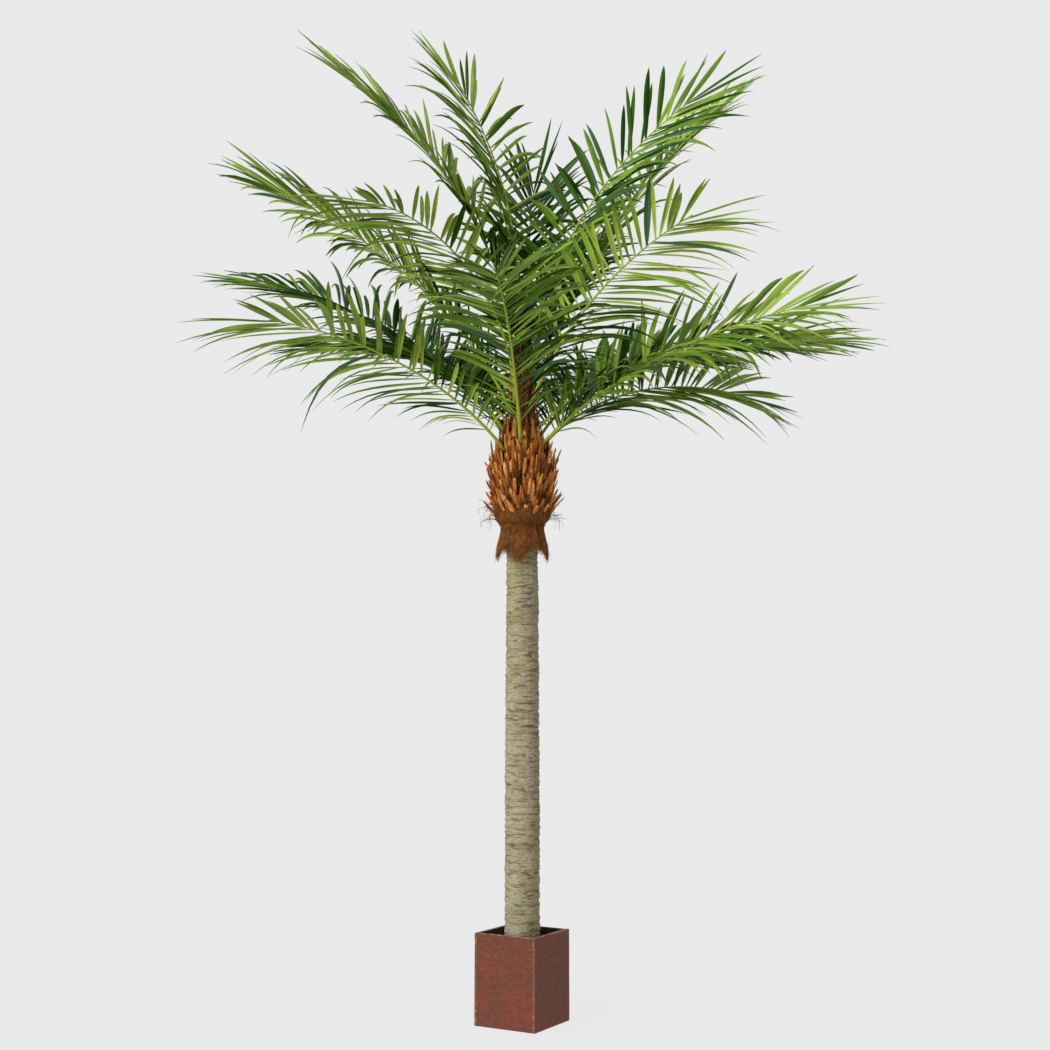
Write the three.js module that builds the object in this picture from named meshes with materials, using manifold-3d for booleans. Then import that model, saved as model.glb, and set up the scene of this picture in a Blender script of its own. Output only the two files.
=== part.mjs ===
// Artificial majesty palm: a feather-leaved display palm standing in a square wooden box.
// Millimetres, +Z up. The origin is the centre of the box's underside, and the box's sides follow X and Y.

import * as THREE from 'three';
import { mergeVertices } from 'three/addons/utils/BufferGeometryUtils.js';
import Module from 'manifold-3d';

const wasm = await Module();
wasm.setup();

// Clearances: between seated pieces, round the foot of a frond, and between leaflets of different fronds
const SEAT_GAP = 0.3;
const FOOT_GAP = 0.33;
const LEAF_GAP = 1;

// Box and its ballast
const BOX_SIDE = 240;
const BOX_HEIGHT = 310;
const BOX_WALL = 12;
const BOX_FLOOR = 12;
const FILL_BELOW_RIM = 70;

// Trunk: a pole that stands on the box's floor and carries the head, as height and radius pairs
const HEAD_BASE = 1735;
const TRUNK_FOOT_RADIUS = 62;
const TRUNK_PROFILE = [
  [0, TRUNK_FOOT_RADIUS],
  [930, 61.2],
  [HEAD_BASE, 56],
];
const ROUND_SIDES = 32;

// Head: the swollen crown base, as height and radius pairs of the core under its cut leaf bases
const HEAD_PROFILE = [
  [HEAD_BASE, 72],
  [1755, 91],
  [1800, 98],
  [1860, 105],
  [1930, 106],
  [2020, 80],
  [2075, 56],
  [2130, 48],
  [2190, 45],
  [2300, 38],
  [2420, 26],
];
const HEAD_SIDES = 16;

// Cut leaf bases ("boots") that stand out of the head in staggered rows
const BOOT_FIRST_ROW = 1750;
const BOOT_LAST_ROW = 2350;
const BOOT_ROW_RISE = 56;
const BOOT_PITCH = 56;
const BOOT_LENGTH = 96;
const BOOT_WIDTH = 30;
const BOOT_END_WIDTH = 22;
const BOOT_THICKNESS = 13;
const BOOT_END_THICKNESS = 7;
const BOOT_SUNK = 9;
const BOOT_SPLAY = 12;

// Fibre collar under the head: outer radius at each height, and its ragged lower hem
const COLLAR_PROFILE = [
  [1612, 90],
  [1640, 88],
  [1680, 81],
  [1710, 74],
  [HEAD_BASE - SEAT_GAP, 79],
];
const COLLAR_HEM_DEPTH = 9;
const COLLAR_WIDE_TUFTS = 3;
const COLLAR_FINE_TUFTS = 7;
const COLLAR_FINE_SHARE = 0.6;

// Ribs: they bend over most near the foot and less towards the tip, and thin out evenly
const RIB_STEPS = 9;
const RIB_SIDES = 3;
const RIB_BEND_POWER = 0.75;
const RIB_FOOT_RADIUS = 11;
const RIB_TIP_RADIUS = 3;
const RIB_ROOT_SHARE = 0.03;

// Leaflets: from the first pair, near the rib's foot, to the pair at its tip
const LEAF_PAIRS = 11;
const LEAF_START = 0.08;
const LEAF_END = 0.98;
const LEAF_LENGTH = 360;
const LEAF_LENGTH_SHARES = [[0, 0.5], [0.15, 0.8], [0.35, 1], [0.75, 1], [1, 0.88]];
const LEAF_WIDTH = 48;
const LEAF_WIDEST = 0.45;
const LEAF_KEEL = 4;
const LEAF_EDGE = 1.5;
const LEAF_FOOT_ANGLE = 58;
const LEAF_TIP_ANGLE = 13;
const LEAF_ANGLE_POWER = 4.2;
const LEAF_SWEEP = 0.16;
const LEAF_RISE_LOSS = 0.8;
const LEAF_SAG = 0.02;
const LEAF_DROOP = 0.25;
const LEAF_STIFFENING = 0.6;
const LEAF_SHORTENING = [1, 0.8, 0.62, 0.45];

// Fronds, lowest ring first; the last two fill the lower ring. heading: compass angle of the rib round the
// trunk, from +X towards +Y. foot: height where it leaves the head. lift: slope of the rib at its foot.
// drop: how much of that slope it loses by its tip. roll: turn of the blade about its rib, right-hand side
// up. rise: angle of the leaflets off the blade at its foot. length: of the rib. trim: length of the raised
// side's leaflets as a share of the other side's.
const FRONDS = [
  { heading: 246, foot: 2000, lift: 46, drop: 46, roll: -20, rise: 10, length: 1000, trim: 0.75 },
  { heading: 2, foot: 2015, lift: 43, drop: 38, roll: -48, rise: 28, length: 1070, trim: 0.8 },
  { heading: 54, foot: 2020, lift: 52, drop: 61, roll: -45, rise: 32, length: 920, trim: 1 },
  { heading: 125, foot: 2000, lift: 58, drop: 52, roll: 0, rise: 26, length: 1050, trim: 1 },
  { heading: 158, foot: 2020, lift: 58, drop: 48, roll: 0, rise: 26, length: 1050, trim: 1 },
  { heading: 37, foot: 2025, lift: 53, drop: 54, roll: 0, rise: 22, length: 1130, trim: 1 },
  { heading: 296, foot: 2020, lift: 49, drop: 50, roll: -8, rise: 30, length: 1030, trim: 1 },
  { heading: 72, foot: 2040, lift: 56, drop: 54, roll: -10, rise: 26, length: 1050, trim: 1 },
  { heading: 198, foot: 2065, lift: 58, drop: 44, roll: 24, rise: 24, length: 1160, trim: 1 },
  { heading: 209, foot: 2155, lift: 67, drop: 41, roll: -7, rise: 16, length: 1220, trim: 1 },
  { heading: 337, foot: 2155, lift: 57, drop: 49, roll: 33, rise: 20, length: 1010, trim: 0.75 },
  { heading: 260, foot: 2200, lift: 91, drop: 97, roll: -13, rise: 16, length: 1010, trim: 0.6 },
  { heading: 102, foot: 2160, lift: 74, drop: 44, roll: 0, rise: 26, length: 1150, trim: 1 },
  { heading: 48, foot: 2170, lift: 77, drop: 31, roll: -15, rise: 36, length: 1360, trim: 1 },
  { heading: 100, foot: 2300, lift: 96, drop: 22, roll: 0, rise: 34, length: 720, trim: 1 },
  { heading: 8, foot: 2255, lift: 94, drop: 64, roll: -71, rise: 27, length: 1200, trim: 0.85 },
  { heading: 228, foot: 2300, lift: 94, drop: 59, roll: 32, rise: 23, length: 1180, trim: 1 },
  { heading: 195, foot: 2380, lift: 101, drop: 41, roll: 32, rise: 34, length: 1100, trim: 0.8 },
  { heading: 20, foot: 2075, lift: 49, drop: 54, roll: -30, rise: 28, length: 900, trim: 1 },
  { heading: 178, foot: 2095, lift: 54, drop: 50, roll: 10, rise: 30, length: 950, trim: 1 },
];

const UP = new THREE.Vector3(0, 0, 1);
const { degToRad, lerp } = THREE.MathUtils;

// Materials

function finish(color, roughness) {
  return new THREE.MeshStandardMaterial({ color, roughness, metalness: 0 });
}

const PAINTED_WOOD = finish('#8a5038', 0.75);
const BALLAST = finish('#3a332d', 0.95);
const TRUNK_WRAP = finish('#a89e88', 0.9);
const FIBRE = finish('#7a4526', 0.95);
const LEAF_BASE = finish('#a5652f', 0.85);
const LEAF_GREEN = finish('#5f8f2c', 0.55);

// Helpers

// Value at x on a line through the [x, value] pairs, held level beyond its ends.
function along(pairs, x) {
  const next = pairs.findIndex(([at]) => at > x);
  if (next === 0) return pairs[0][1];
  if (next < 0) return pairs[pairs.length - 1][1];
  const [x0, value0] = pairs[next - 1];
  const [x1, value1] = pairs[next];
  return lerp(value0, value1, (x - x0) / (x1 - x0));
}

// A closed geometry as a solid, with its shared corners merged.
function toSolid(geometry) {
  geometry.deleteAttribute('normal');
  geometry.deleteAttribute('uv');
  const merged = mergeVertices(geometry);
  return new wasm.Manifold(new wasm.Mesh({
    numProp: 3,
    vertProperties: new Float32Array(merged.attributes.position.array),
    triVerts: new Uint32Array(merged.index.array),
  }));
}

function toGeometry(solid) {
  const mesh = solid.getMesh();
  const geometry = new THREE.BufferGeometry();
  geometry.setAttribute('position', new THREE.BufferAttribute(mesh.vertProperties, 3));
  geometry.setIndex(new THREE.BufferAttribute(mesh.triVerts, 1));
  geometry.computeVertexNormals();
  return geometry;
}

// Moves every corner of a geometry to place(corner).
function reshape(geometry, place) {
  const position = geometry.attributes.position;
  const corner = new THREE.Vector3();
  for (let i = 0; i < position.count; i += 1) {
    corner.fromBufferAttribute(position, i);
    position.setXYZ(i, ...place(corner).toArray());
  }
  return geometry;
}

// A lathe turned about +Z from [height, radius] pairs that run up its outer side.
function turned(pairs, sides) {
  const profile = pairs.map(([height, radius]) => new THREE.Vector2(radius, height));
  return new THREE.LatheGeometry(profile, sides).rotateX(Math.PI / 2);
}

function largestPiece(solid) {
  return solid.decompose().reduce((best, other) => (other.volume() > best.volume() ? other : best));
}

// A piece keeps its box, so that only near pieces are measured against each other.
function piece(solid) {
  const { min, max } = solid.boundingBox();
  return { solid, box: new THREE.Box3(new THREE.Vector3(...min), new THREE.Vector3(...max)) };
}

function isClear(candidate, others, gap) {
  const reach = candidate.box.clone().expandByScalar(gap);
  return others.every((other) => (
    !reach.intersectsBox(other.box) || candidate.solid.minGap(other.solid, gap) >= gap
  ));
}

// Box, ballast and trunk

function boxGeometry() {
  const inside = BOX_SIDE - 2 * BOX_WALL;
  const outer = new THREE.BoxGeometry(BOX_SIDE, BOX_SIDE, BOX_HEIGHT).translate(0, 0, BOX_HEIGHT / 2);
  const hollow = new THREE.BoxGeometry(inside, inside, BOX_HEIGHT)
    .translate(0, 0, BOX_FLOOR + BOX_HEIGHT / 2);
  return toGeometry(toSolid(outer).subtract(toSolid(hollow)));
}

function trunkRadius(height) {
  return along(TRUNK_PROFILE, height);
}

function trunkGeometry() {
  const foot = BOX_FLOOR + SEAT_GAP;
  const top = HEAD_BASE - SEAT_GAP;
  const outer = [foot, ...TRUNK_PROFILE.slice(1, -1).map(([height]) => height), top]
    .map((height) => [height, trunkRadius(height)]);
  return turned([[foot, 0], ...outer, [top, 0]], ROUND_SIDES);
}

function fillGeometry() {
  const half = BOX_SIDE / 2 - BOX_WALL - SEAT_GAP;
  const block = new THREE.Shape();
  block.moveTo(-half, -half).lineTo(half, -half).lineTo(half, half).lineTo(-half, half).closePath();
  const hole = new THREE.Path();
  hole.absarc(0, 0, TRUNK_FOOT_RADIUS + SEAT_GAP, 0, 2 * Math.PI, true);
  block.holes.push(hole);
  const foot = BOX_FLOOR + SEAT_GAP;
  const depth = BOX_HEIGHT - FILL_BELOW_RIM - foot;
  const options = { depth, bevelEnabled: false, curveSegments: ROUND_SIDES / 2 };
  return new THREE.ExtrudeGeometry(block, options).translate(0, 0, foot);
}

// Fibre collar: a ring round the trunk whose lower hem hangs down in uneven tufts

function collarGeometry() {
  const hem = COLLAR_PROFILE[0][0];
  const top = COLLAR_PROFILE[COLLAR_PROFILE.length - 1][0];
  const inner = trunkRadius(hem - 2 * COLLAR_HEM_DEPTH) + SEAT_GAP;
  const ring = turned([[hem, inner], ...COLLAR_PROFILE, [top, inner], [hem, inner]], ROUND_SIDES);
  return reshape(ring, (corner) => {
    if (corner.z > hem) return corner;
    const angle = Math.atan2(corner.y, corner.x);
    const wide = Math.cos(COLLAR_WIDE_TUFTS * angle);
    const fine = COLLAR_FINE_SHARE * Math.sin(COLLAR_FINE_TUFTS * angle);
    return corner.setZ(hem - COLLAR_HEM_DEPTH * (wide + fine));
  });
}

// Head: core and boots

function radiusAt(height) {
  return along(HEAD_PROFILE, height);
}

// Lean of the core's surface from the upright, outwards positive.
function surfaceLean(height) {
  const step = 5;
  return Math.atan2(radiusAt(height + step) - radiusAt(height - step), 2 * step);
}

// The core under the boots, or that core grown outwards and upwards by a clearance.
function coreSolid(clearance) {
  const last = HEAD_PROFILE.length - 1;
  const outer = HEAD_PROFILE.map(([height, radius], i) => (
    [i === last ? height + clearance : height, radius + clearance]
  ));
  const [top] = outer[last];
  return toSolid(turned([[HEAD_BASE, 0], ...outer, [top, 0]], HEAD_SIDES));
}

// One boot: a tapered, blunt slat that leans out of the core's surface by BOOT_SPLAY degrees.
function bootSolid(heading, height) {
  const lean = surfaceLean(height) + degToRad(BOOT_SPLAY);
  const outward = new THREE.Vector3(Math.cos(heading), Math.sin(heading), 0);
  const across = new THREE.Vector3(-outward.y, outward.x, 0);
  const length = UP.clone().multiplyScalar(Math.cos(lean)).addScaledVector(outward, Math.sin(lean));
  const out = across.clone().cross(length);
  const foot = outward.clone().multiplyScalar(radiusAt(height) - BOOT_SUNK).addScaledVector(UP, height);
  const slat = new THREE.BoxGeometry(1, 1, 1).translate(0, 0.5, 0);
  return toSolid(reshape(slat, ({ x, y, z }) => foot.clone()
    .addScaledVector(across, x * lerp(BOOT_WIDTH, BOOT_END_WIDTH, y))
    .addScaledVector(length, y * BOOT_LENGTH)
    .addScaledVector(out, z * lerp(BOOT_THICKNESS, BOOT_END_THICKNESS, y))));
}

// Staggered rows of boots, left out where a frond leaves the head.
function headSolid(frondPieces) {
  const boots = [];
  const rows = Math.round((BOOT_LAST_ROW - BOOT_FIRST_ROW) / BOOT_ROW_RISE);
  for (let row = 0; row <= rows; row += 1) {
    const height = lerp(BOOT_FIRST_ROW, BOOT_LAST_ROW, row / rows);
    const count = Math.max(4, Math.round(2 * Math.PI * radiusAt(height) / BOOT_PITCH));
    for (let i = 0; i < count; i += 1) {
      const heading = 2 * Math.PI * (i + 0.5 * (row % 2)) / count;
      const boot = piece(bootSolid(heading, height));
      if (isClear(boot, frondPieces, SEAT_GAP)) boots.push(boot.solid);
    }
  }
  return largestPiece(wasm.Manifold.union([coreSolid(0), ...boots]));
}

// Fronds

// Frame of a rib at share s of its length: its tangent, its right-hand side and its upper side.
function ribFrame(frond, s) {
  const slope = degToRad(frond.lift - frond.drop * Math.max(s, 0) ** RIB_BEND_POWER);
  const heading = degToRad(frond.heading);
  const roll = degToRad(frond.roll);
  const outward = new THREE.Vector3(Math.cos(heading), Math.sin(heading), 0);
  const tangent = outward.clone().multiplyScalar(Math.cos(slope)).addScaledVector(UP, Math.sin(slope));
  const level = new THREE.Vector3(Math.sin(heading), -Math.cos(heading), 0);
  const upper = level.clone().cross(tangent);
  return {
    tangent,
    side: level.clone().multiplyScalar(Math.cos(roll)).addScaledVector(upper, Math.sin(roll)),
    face: upper.clone().multiplyScalar(Math.cos(roll)).addScaledVector(level, -Math.sin(roll)),
  };
}

// The rib's line: it starts on the head's surface and follows its own slope from there.
function ribLine(frond) {
  const heading = degToRad(frond.heading);
  const radius = radiusAt(frond.foot);
  const points = [new THREE.Vector3(radius * Math.cos(heading), radius * Math.sin(heading), frond.foot)];
  const samples = 4 * RIB_STEPS;
  for (let i = 0; i < samples; i += 1) {
    const { tangent } = ribFrame(frond, (i + 0.5) / samples);
    points.push(points[i].clone().addScaledVector(tangent, frond.length / samples));
  }
  return new THREE.CatmullRomCurve3(points);
}

// Point on the rib at share s; below 0 it runs straight back into the head.
function ribPoint(frond, line, s) {
  if (s >= 0) return line.getPointAt(Math.min(s, 1));
  return line.getPointAt(0).addScaledVector(ribFrame(frond, 0).tangent, s * frond.length);
}

function ribSolid(frond, line) {
  const rod = new THREE.CylinderGeometry(1, 1, 1, RIB_SIDES, RIB_STEPS);
  return toSolid(reshape(rod, ({ x, y, z }) => {
    const s = lerp(-RIB_ROOT_SHARE, 1, y + 0.5);
    const { side, face } = ribFrame(frond, s);
    const radius = lerp(RIB_FOOT_RADIUS, RIB_TIP_RADIUS, y + 0.5);
    return ribPoint(frond, line, s).addScaledVector(side, x * radius).addScaledVector(face, z * radius);
  }));
}

// One leaflet: a keeled spear of eight faces. It starts as an upright edge inside the rib, is widest at
// LEAF_WIDEST and runs out to a drooping point. share runs from the first pair (0) to the last (1), hand
// is 1 on the right of the rib and -1 on its left, and scale shortens it. On a rolled blade the leaflets
// of the raised side stand off wider and droop less, and those of the lowered side are swept forward.
function leafletSolid(frond, line, share, hand, scale) {
  const s = lerp(LEAF_START, LEAF_END, share);
  const { tangent, side, face } = ribFrame(frond, s);
  const raised = hand * Math.sin(degToRad(frond.roll));
  const spread = 1 + LEAF_SWEEP * raised;
  const angle = degToRad(spread * lerp(LEAF_FOOT_ANGLE, LEAF_TIP_ANGLE, share ** LEAF_ANGLE_POWER));
  const rise = degToRad(frond.rise * (1 - LEAF_RISE_LOSS * share));
  const trim = raised > 0 ? frond.trim : 1;
  const length = scale * trim * LEAF_LENGTH * along(LEAF_LENGTH_SHARES, share);
  const droop = LEAF_DROOP * Math.sin(angle) * (1 - LEAF_STIFFENING * Math.max(raised, 0));
  const direction = tangent.clone().multiplyScalar(Math.cos(angle))
    .addScaledVector(side, hand * Math.sin(angle) * Math.cos(rise))
    .addScaledVector(face, Math.sin(angle) * Math.sin(rise));
  const across = tangent.clone().addScaledVector(direction, -tangent.dot(direction))
    .normalize().multiplyScalar(-hand);
  const keel = across.clone().cross(direction);
  const root = ribPoint(frond, line, s);
  const stations = [
    { at: 0, half: 0, keel: LEAF_KEEL, edge: LEAF_EDGE, drop: 0 },
    { at: LEAF_WIDEST, half: LEAF_WIDTH / 2, keel: LEAF_KEEL, edge: LEAF_EDGE, drop: LEAF_SAG },
    { at: 1, half: 0, keel: 0, edge: 0, drop: droop },
  ];
  const spear = new THREE.ConeGeometry(1, 1, 3, stations.length - 1);
  return toSolid(reshape(spear, ({ x, y, z }) => {
    const station = stations[Math.round((y + 0.5) * (stations.length - 1))];
    const isCrest = z > 0;
    const hem = isCrest ? 0 : Math.sign(x) * station.half;
    return root.clone().addScaledVector(direction, station.at * length)
      .addScaledVector(UP, -station.drop * length)
      .addScaledVector(across, hem)
      .addScaledVector(keel, isCrest ? station.keel : -station.edge);
  }));
}

// All fronds together: ribs first, then leaflets from the tips inwards, so that each tip is kept whole.
// A leaflet that would touch the head or another frond is shortened, or left out.
function frondSolids() {
  const headRoom = coreSolid(FOOT_GAP);
  const head = piece(headRoom);
  const lines = FRONDS.map(ribLine);
  const fronds = FRONDS.map((frond, i) => {
    const rib = largestPiece(ribSolid(frond, lines[i]).subtract(headRoom));
    return [piece(rib)];
  });
  for (let pair = LEAF_PAIRS - 1; pair >= 0; pair -= 1) {
    FRONDS.forEach((frond, i) => {
      const neighbours = [head, ...fronds.filter((pieces) => pieces !== fronds[i]).flat()];
      [-1, 1].forEach((hand) => {
        for (const scale of LEAF_SHORTENING) {
          const leaflet = piece(leafletSolid(frond, lines[i], pair / (LEAF_PAIRS - 1), hand, scale));
          if (isClear(leaflet, neighbours, LEAF_GAP)) {
            fronds[i].push(leaflet);
            break;
          }
        }
      });
    });
  }
  return fronds.map((pieces) => largestPiece(wasm.Manifold.union(pieces.map(({ solid }) => solid))));
}

// Assembly

const palm = new THREE.Group();

function addPart(name, geometry, material) {
  const mesh = new THREE.Mesh(geometry, material);
  mesh.name = name;
  palm.add(mesh);
}

const fronds = frondSolids();

addPart('pot', boxGeometry(), PAINTED_WOOD);
addPart('pot_fill', fillGeometry(), BALLAST);
addPart('trunk', trunkGeometry(), TRUNK_WRAP);
addPart('fibre_collar', collarGeometry(), FIBRE);
addPart('crown_head', toGeometry(headSolid(fronds.map(piece))), LEAF_BASE);
fronds.forEach((solid, i) => {
  addPart(`frond_${String(i + 1).padStart(2, '0')}`, toGeometry(solid), LEAF_GREEN);
});

export default palm;
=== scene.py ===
import math
from collections import namedtuple

import bpy
import numpy as np
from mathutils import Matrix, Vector


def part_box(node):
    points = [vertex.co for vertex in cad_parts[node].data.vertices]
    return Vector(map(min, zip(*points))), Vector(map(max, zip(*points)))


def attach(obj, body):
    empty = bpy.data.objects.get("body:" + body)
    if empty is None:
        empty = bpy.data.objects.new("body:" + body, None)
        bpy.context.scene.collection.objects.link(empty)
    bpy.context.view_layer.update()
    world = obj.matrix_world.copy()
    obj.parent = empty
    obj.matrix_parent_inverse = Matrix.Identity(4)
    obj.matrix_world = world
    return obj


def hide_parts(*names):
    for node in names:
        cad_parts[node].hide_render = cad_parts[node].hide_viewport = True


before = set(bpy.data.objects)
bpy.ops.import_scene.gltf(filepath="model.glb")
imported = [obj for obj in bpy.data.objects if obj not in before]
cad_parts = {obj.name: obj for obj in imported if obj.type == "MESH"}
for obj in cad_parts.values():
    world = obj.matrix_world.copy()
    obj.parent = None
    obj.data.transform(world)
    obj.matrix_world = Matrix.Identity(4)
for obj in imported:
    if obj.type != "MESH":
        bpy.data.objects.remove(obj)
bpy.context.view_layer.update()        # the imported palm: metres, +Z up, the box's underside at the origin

BODY = "root"
SEED = 1735
TURN = 2 * math.pi
QUARTER = math.pi / 2
UPWARD = np.array([0, 0, 1.0])

# In the values below, CELLS are the cells of a noise round a piece and up it, a RANGE is the least and most
# of what is dealt out at random, a SPREAD is a standard deviation, and ODDS are shares of all. Lengths are in
# metres, places and drifts round the head and the collar in radians, and all other angles in degrees

# Box: four boards and a floor, with the side boards running past the ends of the front and back ones
BOX_LOW, BOX_HIGH = (np.array(corner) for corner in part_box("pot"))
BOARD_THICK = 0.012
BOARD_GAP = 0.0001
BOARD_ROWS = 70
BOARD_COLUMNS = 40
BOARD_EDGE = 0.0010
BOARD_EDGE_STEPS = 4
BOARD_CORNER_POINTS = 5
BOARD_LEAST_CORNER = 0.0002
BOARD_WARP, BOARD_WARP_CELLS = 0.0003, (6, 4)

# Chips and scuffs of the boards, where noise is high, and paint rubbed off within a reach of the edges
CHIP_DEPTH, CHIP_RIM_SHARE, CHIP_REACH = 0.0016, 0.6, 0.003
CHIP_CELLS, CHIP_GAIN, CHIP_CUT = (44, 52), 2.6, 1.9
SCUFF_CELLS, SCUFF_GAIN, SCUFF_CUT = (60, 90), 3, 2.5
RIM_REACH = 0.0020
SIDE_RUB, SIDE_REACH = 0.28, 0.0012
FOOT_RUB, FOOT_REACH = 0.4, 0.002
RUB_MEAN, RUB_SWING, RUB_CELLS = 0.75, 0.5, (30, 40)
CHIP_WEAR = 0.7
SCUFF_WEAR = 0.6

# Nail heads: heights, and the shares of the radius and the standing of a dome's rings
NAIL_HEIGHTS = (0.020, 0.046, 0.284)
NAIL_RADIUS, NAIL_SIZE_RANGE = 0.0024, (0.6, 1)
NAIL_CORNERS = 10
NAIL_RADIUS_SHARES = np.array([1, 1, 0.8, 0.3])
NAIL_STANDING = np.array([-0.0008, 0.0002, 0.0005, 0.0006])
NAIL_SIDE_SPREAD = 0.001
NAIL_HEIGHT_SPREAD = 0.003

# Ballast in the box
FILL_LOW, FILL_HIGH = (np.array(corner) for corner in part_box("pot_fill"))
FILL_CORNERS = 160
FILL_STEPS = 30
FILL_CLEARANCE = 0.0003
FILL_LUMP, FILL_LUMP_CELLS = 0.005, (40, 9)
FILL_STONE_SHARE, FILL_STONE_CELLS = 0.5, (90, 20)

# Trunk: a tapering pole wound with narrow bands of fibre
TRUNK_LOW, TRUNK_HIGH = (np.array(corner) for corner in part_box("trunk"))
TRUNK_FOOT_RADIUS = TRUNK_HIGH[0]
TRUNK_PROFILE = ((0, 0.93, 1.735), (TRUNK_FOOT_RADIUS, 0.0612, 0.056))
TRUNK_CORNERS = 144
TRUNK_STATIONS = 634
TRUNK_BURIED_STATIONS = 6
TRUNK_BURIED = 0.02
BAND_PITCH = 0.026
BAND_ROUNDING = 0.55
BAND_WANDER, BAND_WANDER_CELLS = 0.55, (4, 30)
BAND_WAVER, BAND_WAVER_CELLS = 0.25, (15, 110)
GROOVE_DEPTH, GROOVE_LEAST, GROOVE_CELLS = 0.0060, 0.25, (9, 120)
CRACK_SHARE, CRACK_CELLS, CRACK_GAIN, CRACK_CUT = 0.6, (13, 280), 3, 1.3
BAND_LUMP, BAND_LUMP_CELLS = 0.0022, (6, 105)
BAND_FIBRE, BAND_FIBRE_CELLS = 0.0010, (34, 300)

# Head: height and radius of the core under its cut leaf bases
HEAD_PROFILE = np.array([
    (1.735, 0.072), (1.750, 0.088), (1.765, 0.093), (1.785, 0.096), (1.815, 0.100), (1.860, 0.105),
    (1.930, 0.106), (2.020, 0.080), (2.075, 0.056), (2.130, 0.048), (2.190, 0.045), (2.300, 0.038),
    (2.420, 0.026),
])
HEAD_CORNERS = 64
HEAD_STATIONS = 90
HEAD_INSET = 0.003
HEAD_ROUGHNESS, HEAD_CELLS = 0.003, (40, 30)
SPIRE_FOOT, SPIRE_BLEND = 1.995, 0.1
RIB_ROOM = 0.013
RIB_NEAR_SHARE, RIB_NEAR_POINTS = 0.3, 40

# Cut leaf bases: length, width, thickness, lean and its spread are pairs, for the head and for the spire
BOOT_FIRST_ROW = 1.750
BOOT_LAST_ROW = 2.38
# Leaf bases whose foot is above this row are painted shadow brown all over: painted shade deep in the crown
BOOT_SHADE_ROW = 2.22
BOOT_ROW_RISE, BOOT_RISE_SPREAD = 0.023, 0.009
BOOT_PITCH, BOOT_ANGLE_SPREAD = 0.0195, 0.06
BOOT_LEAST_COUNT = 8
BOOT_LENGTH, BOOT_LENGTH_RANGE = (0.078, 0.130), (0.7, 1.2)
BOOT_WIDTH, BOOT_WIDTH_RANGE = (0.0152, 0.0135), (0.6, 1.3)
BOOT_THICK, BOOT_THICK_RANGE = (0.0085, 0.0060), (0.7, 1.25)
BOOT_LEAN, BOOT_LEAN_SPREAD = (14, 4), (5, 3)
BOOT_CURL, BOOT_CURL_RANGE = 4, (-1, 1.5)
BOOT_TILT_SPREAD = 0.10
BOOT_SLOPE_REACH = 0.02
BOOT_SUNK = 0.006
BOOT_TAPER = np.array([1, 1.05, 1.03, 1, 0.95, 0.86, 0.72])
BOOT_END_THICK = 0.75
BOOT_RIDGE = 0.55
BOOT_SECTION_WIDE = (1, 0.5, -0.5, -1)
BOOT_SECTION_DEEP = np.array([0.25, 0.8, 0.8, 0.25, -1])
BOOT_SLANT_SPREAD, BOOT_RAG_SPREAD = 0.006, 0.004
BOOT_RAG_NEXT = 0.45
BOOT_TONE_ODDS = (0.46, 0.32, 0.22)
BOOT_BROWN_ODDS = 0.6
BOOT_TAN_SIDE_ODDS, BOOT_TAN_SIDE = 0.3, 3
BOOT_CUT_ODDS = 0.16
RUST, BROWN, TAN, CUT, SHADOW = range(5)

# Loose fibres on the head
FIBRE_COUNT = 1500
FIBRE_STATIONS = 5
FIBRE_FOOT, FIBRE_SPAN, FIBRE_SPAN_POWER = 1.755, 0.60, 1.5
FIBRE_CLIMB_RANGE = (0.025, 0.075)
FIBRE_STAND_RANGE = (-0.002, 0.010)
FIBRE_LEAN = 0.006
FIBRE_DRIFT_SPREAD = 0.12
FIBRE_THICK_RANGE = (0.0008, 0.0018)
FIBRE_TONE_ODDS = (0.4, 0.35, 0.25)

# Fibre collar: height and radius of its outer side, and where the photograph's view meets it
COLLAR_PROFILE = np.array([
    (1.590, 0.0855), (1.615, 0.087), (1.640, 0.0875), (1.660, 0.0865), (1.693, 0.078), (1.722, 0.073),
    (1.729, 0.073), (1.738, 0.082), (1.750, 0.0935), (1.765, 0.0990), (1.795, 0.0990),
])
COLLAR_INNER = 0.0575
COLLAR_WAIST = 1.727
COLLAR_CORNERS = 200
COLLAR_STATIONS = 44
COLLAR_INSET = 0.003
COLLAR_SKIRT_THICK = 0.003
COLLAR_FRAY, COLLAR_FRAY_SWING, COLLAR_FRAY_CELLS = 0.012, 0.006, (70, 1)
COLLAR_RIDGE, COLLAR_RIDGE_CELLS = 0.0022, (90, 5)
COLLAR_FOLD_SHARE, COLLAR_FOLD_CELLS = 0.6, (38, 7)
HEM_HEIGHT, HEM_BACK_RISE = 1.632, 0.014
HEM_POINT, HEM_POINT_WIDTH = 0.042, 0.3
HEM_TUFT, HEM_TUFT_WIDTH, HEM_TUFT_ANGLE = 0.036, 0.3, 1.42
VIEW_AZIMUTH = 30.57
VIEW_ANGLE = math.radians(VIEW_AZIMUTH - 90)

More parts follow.
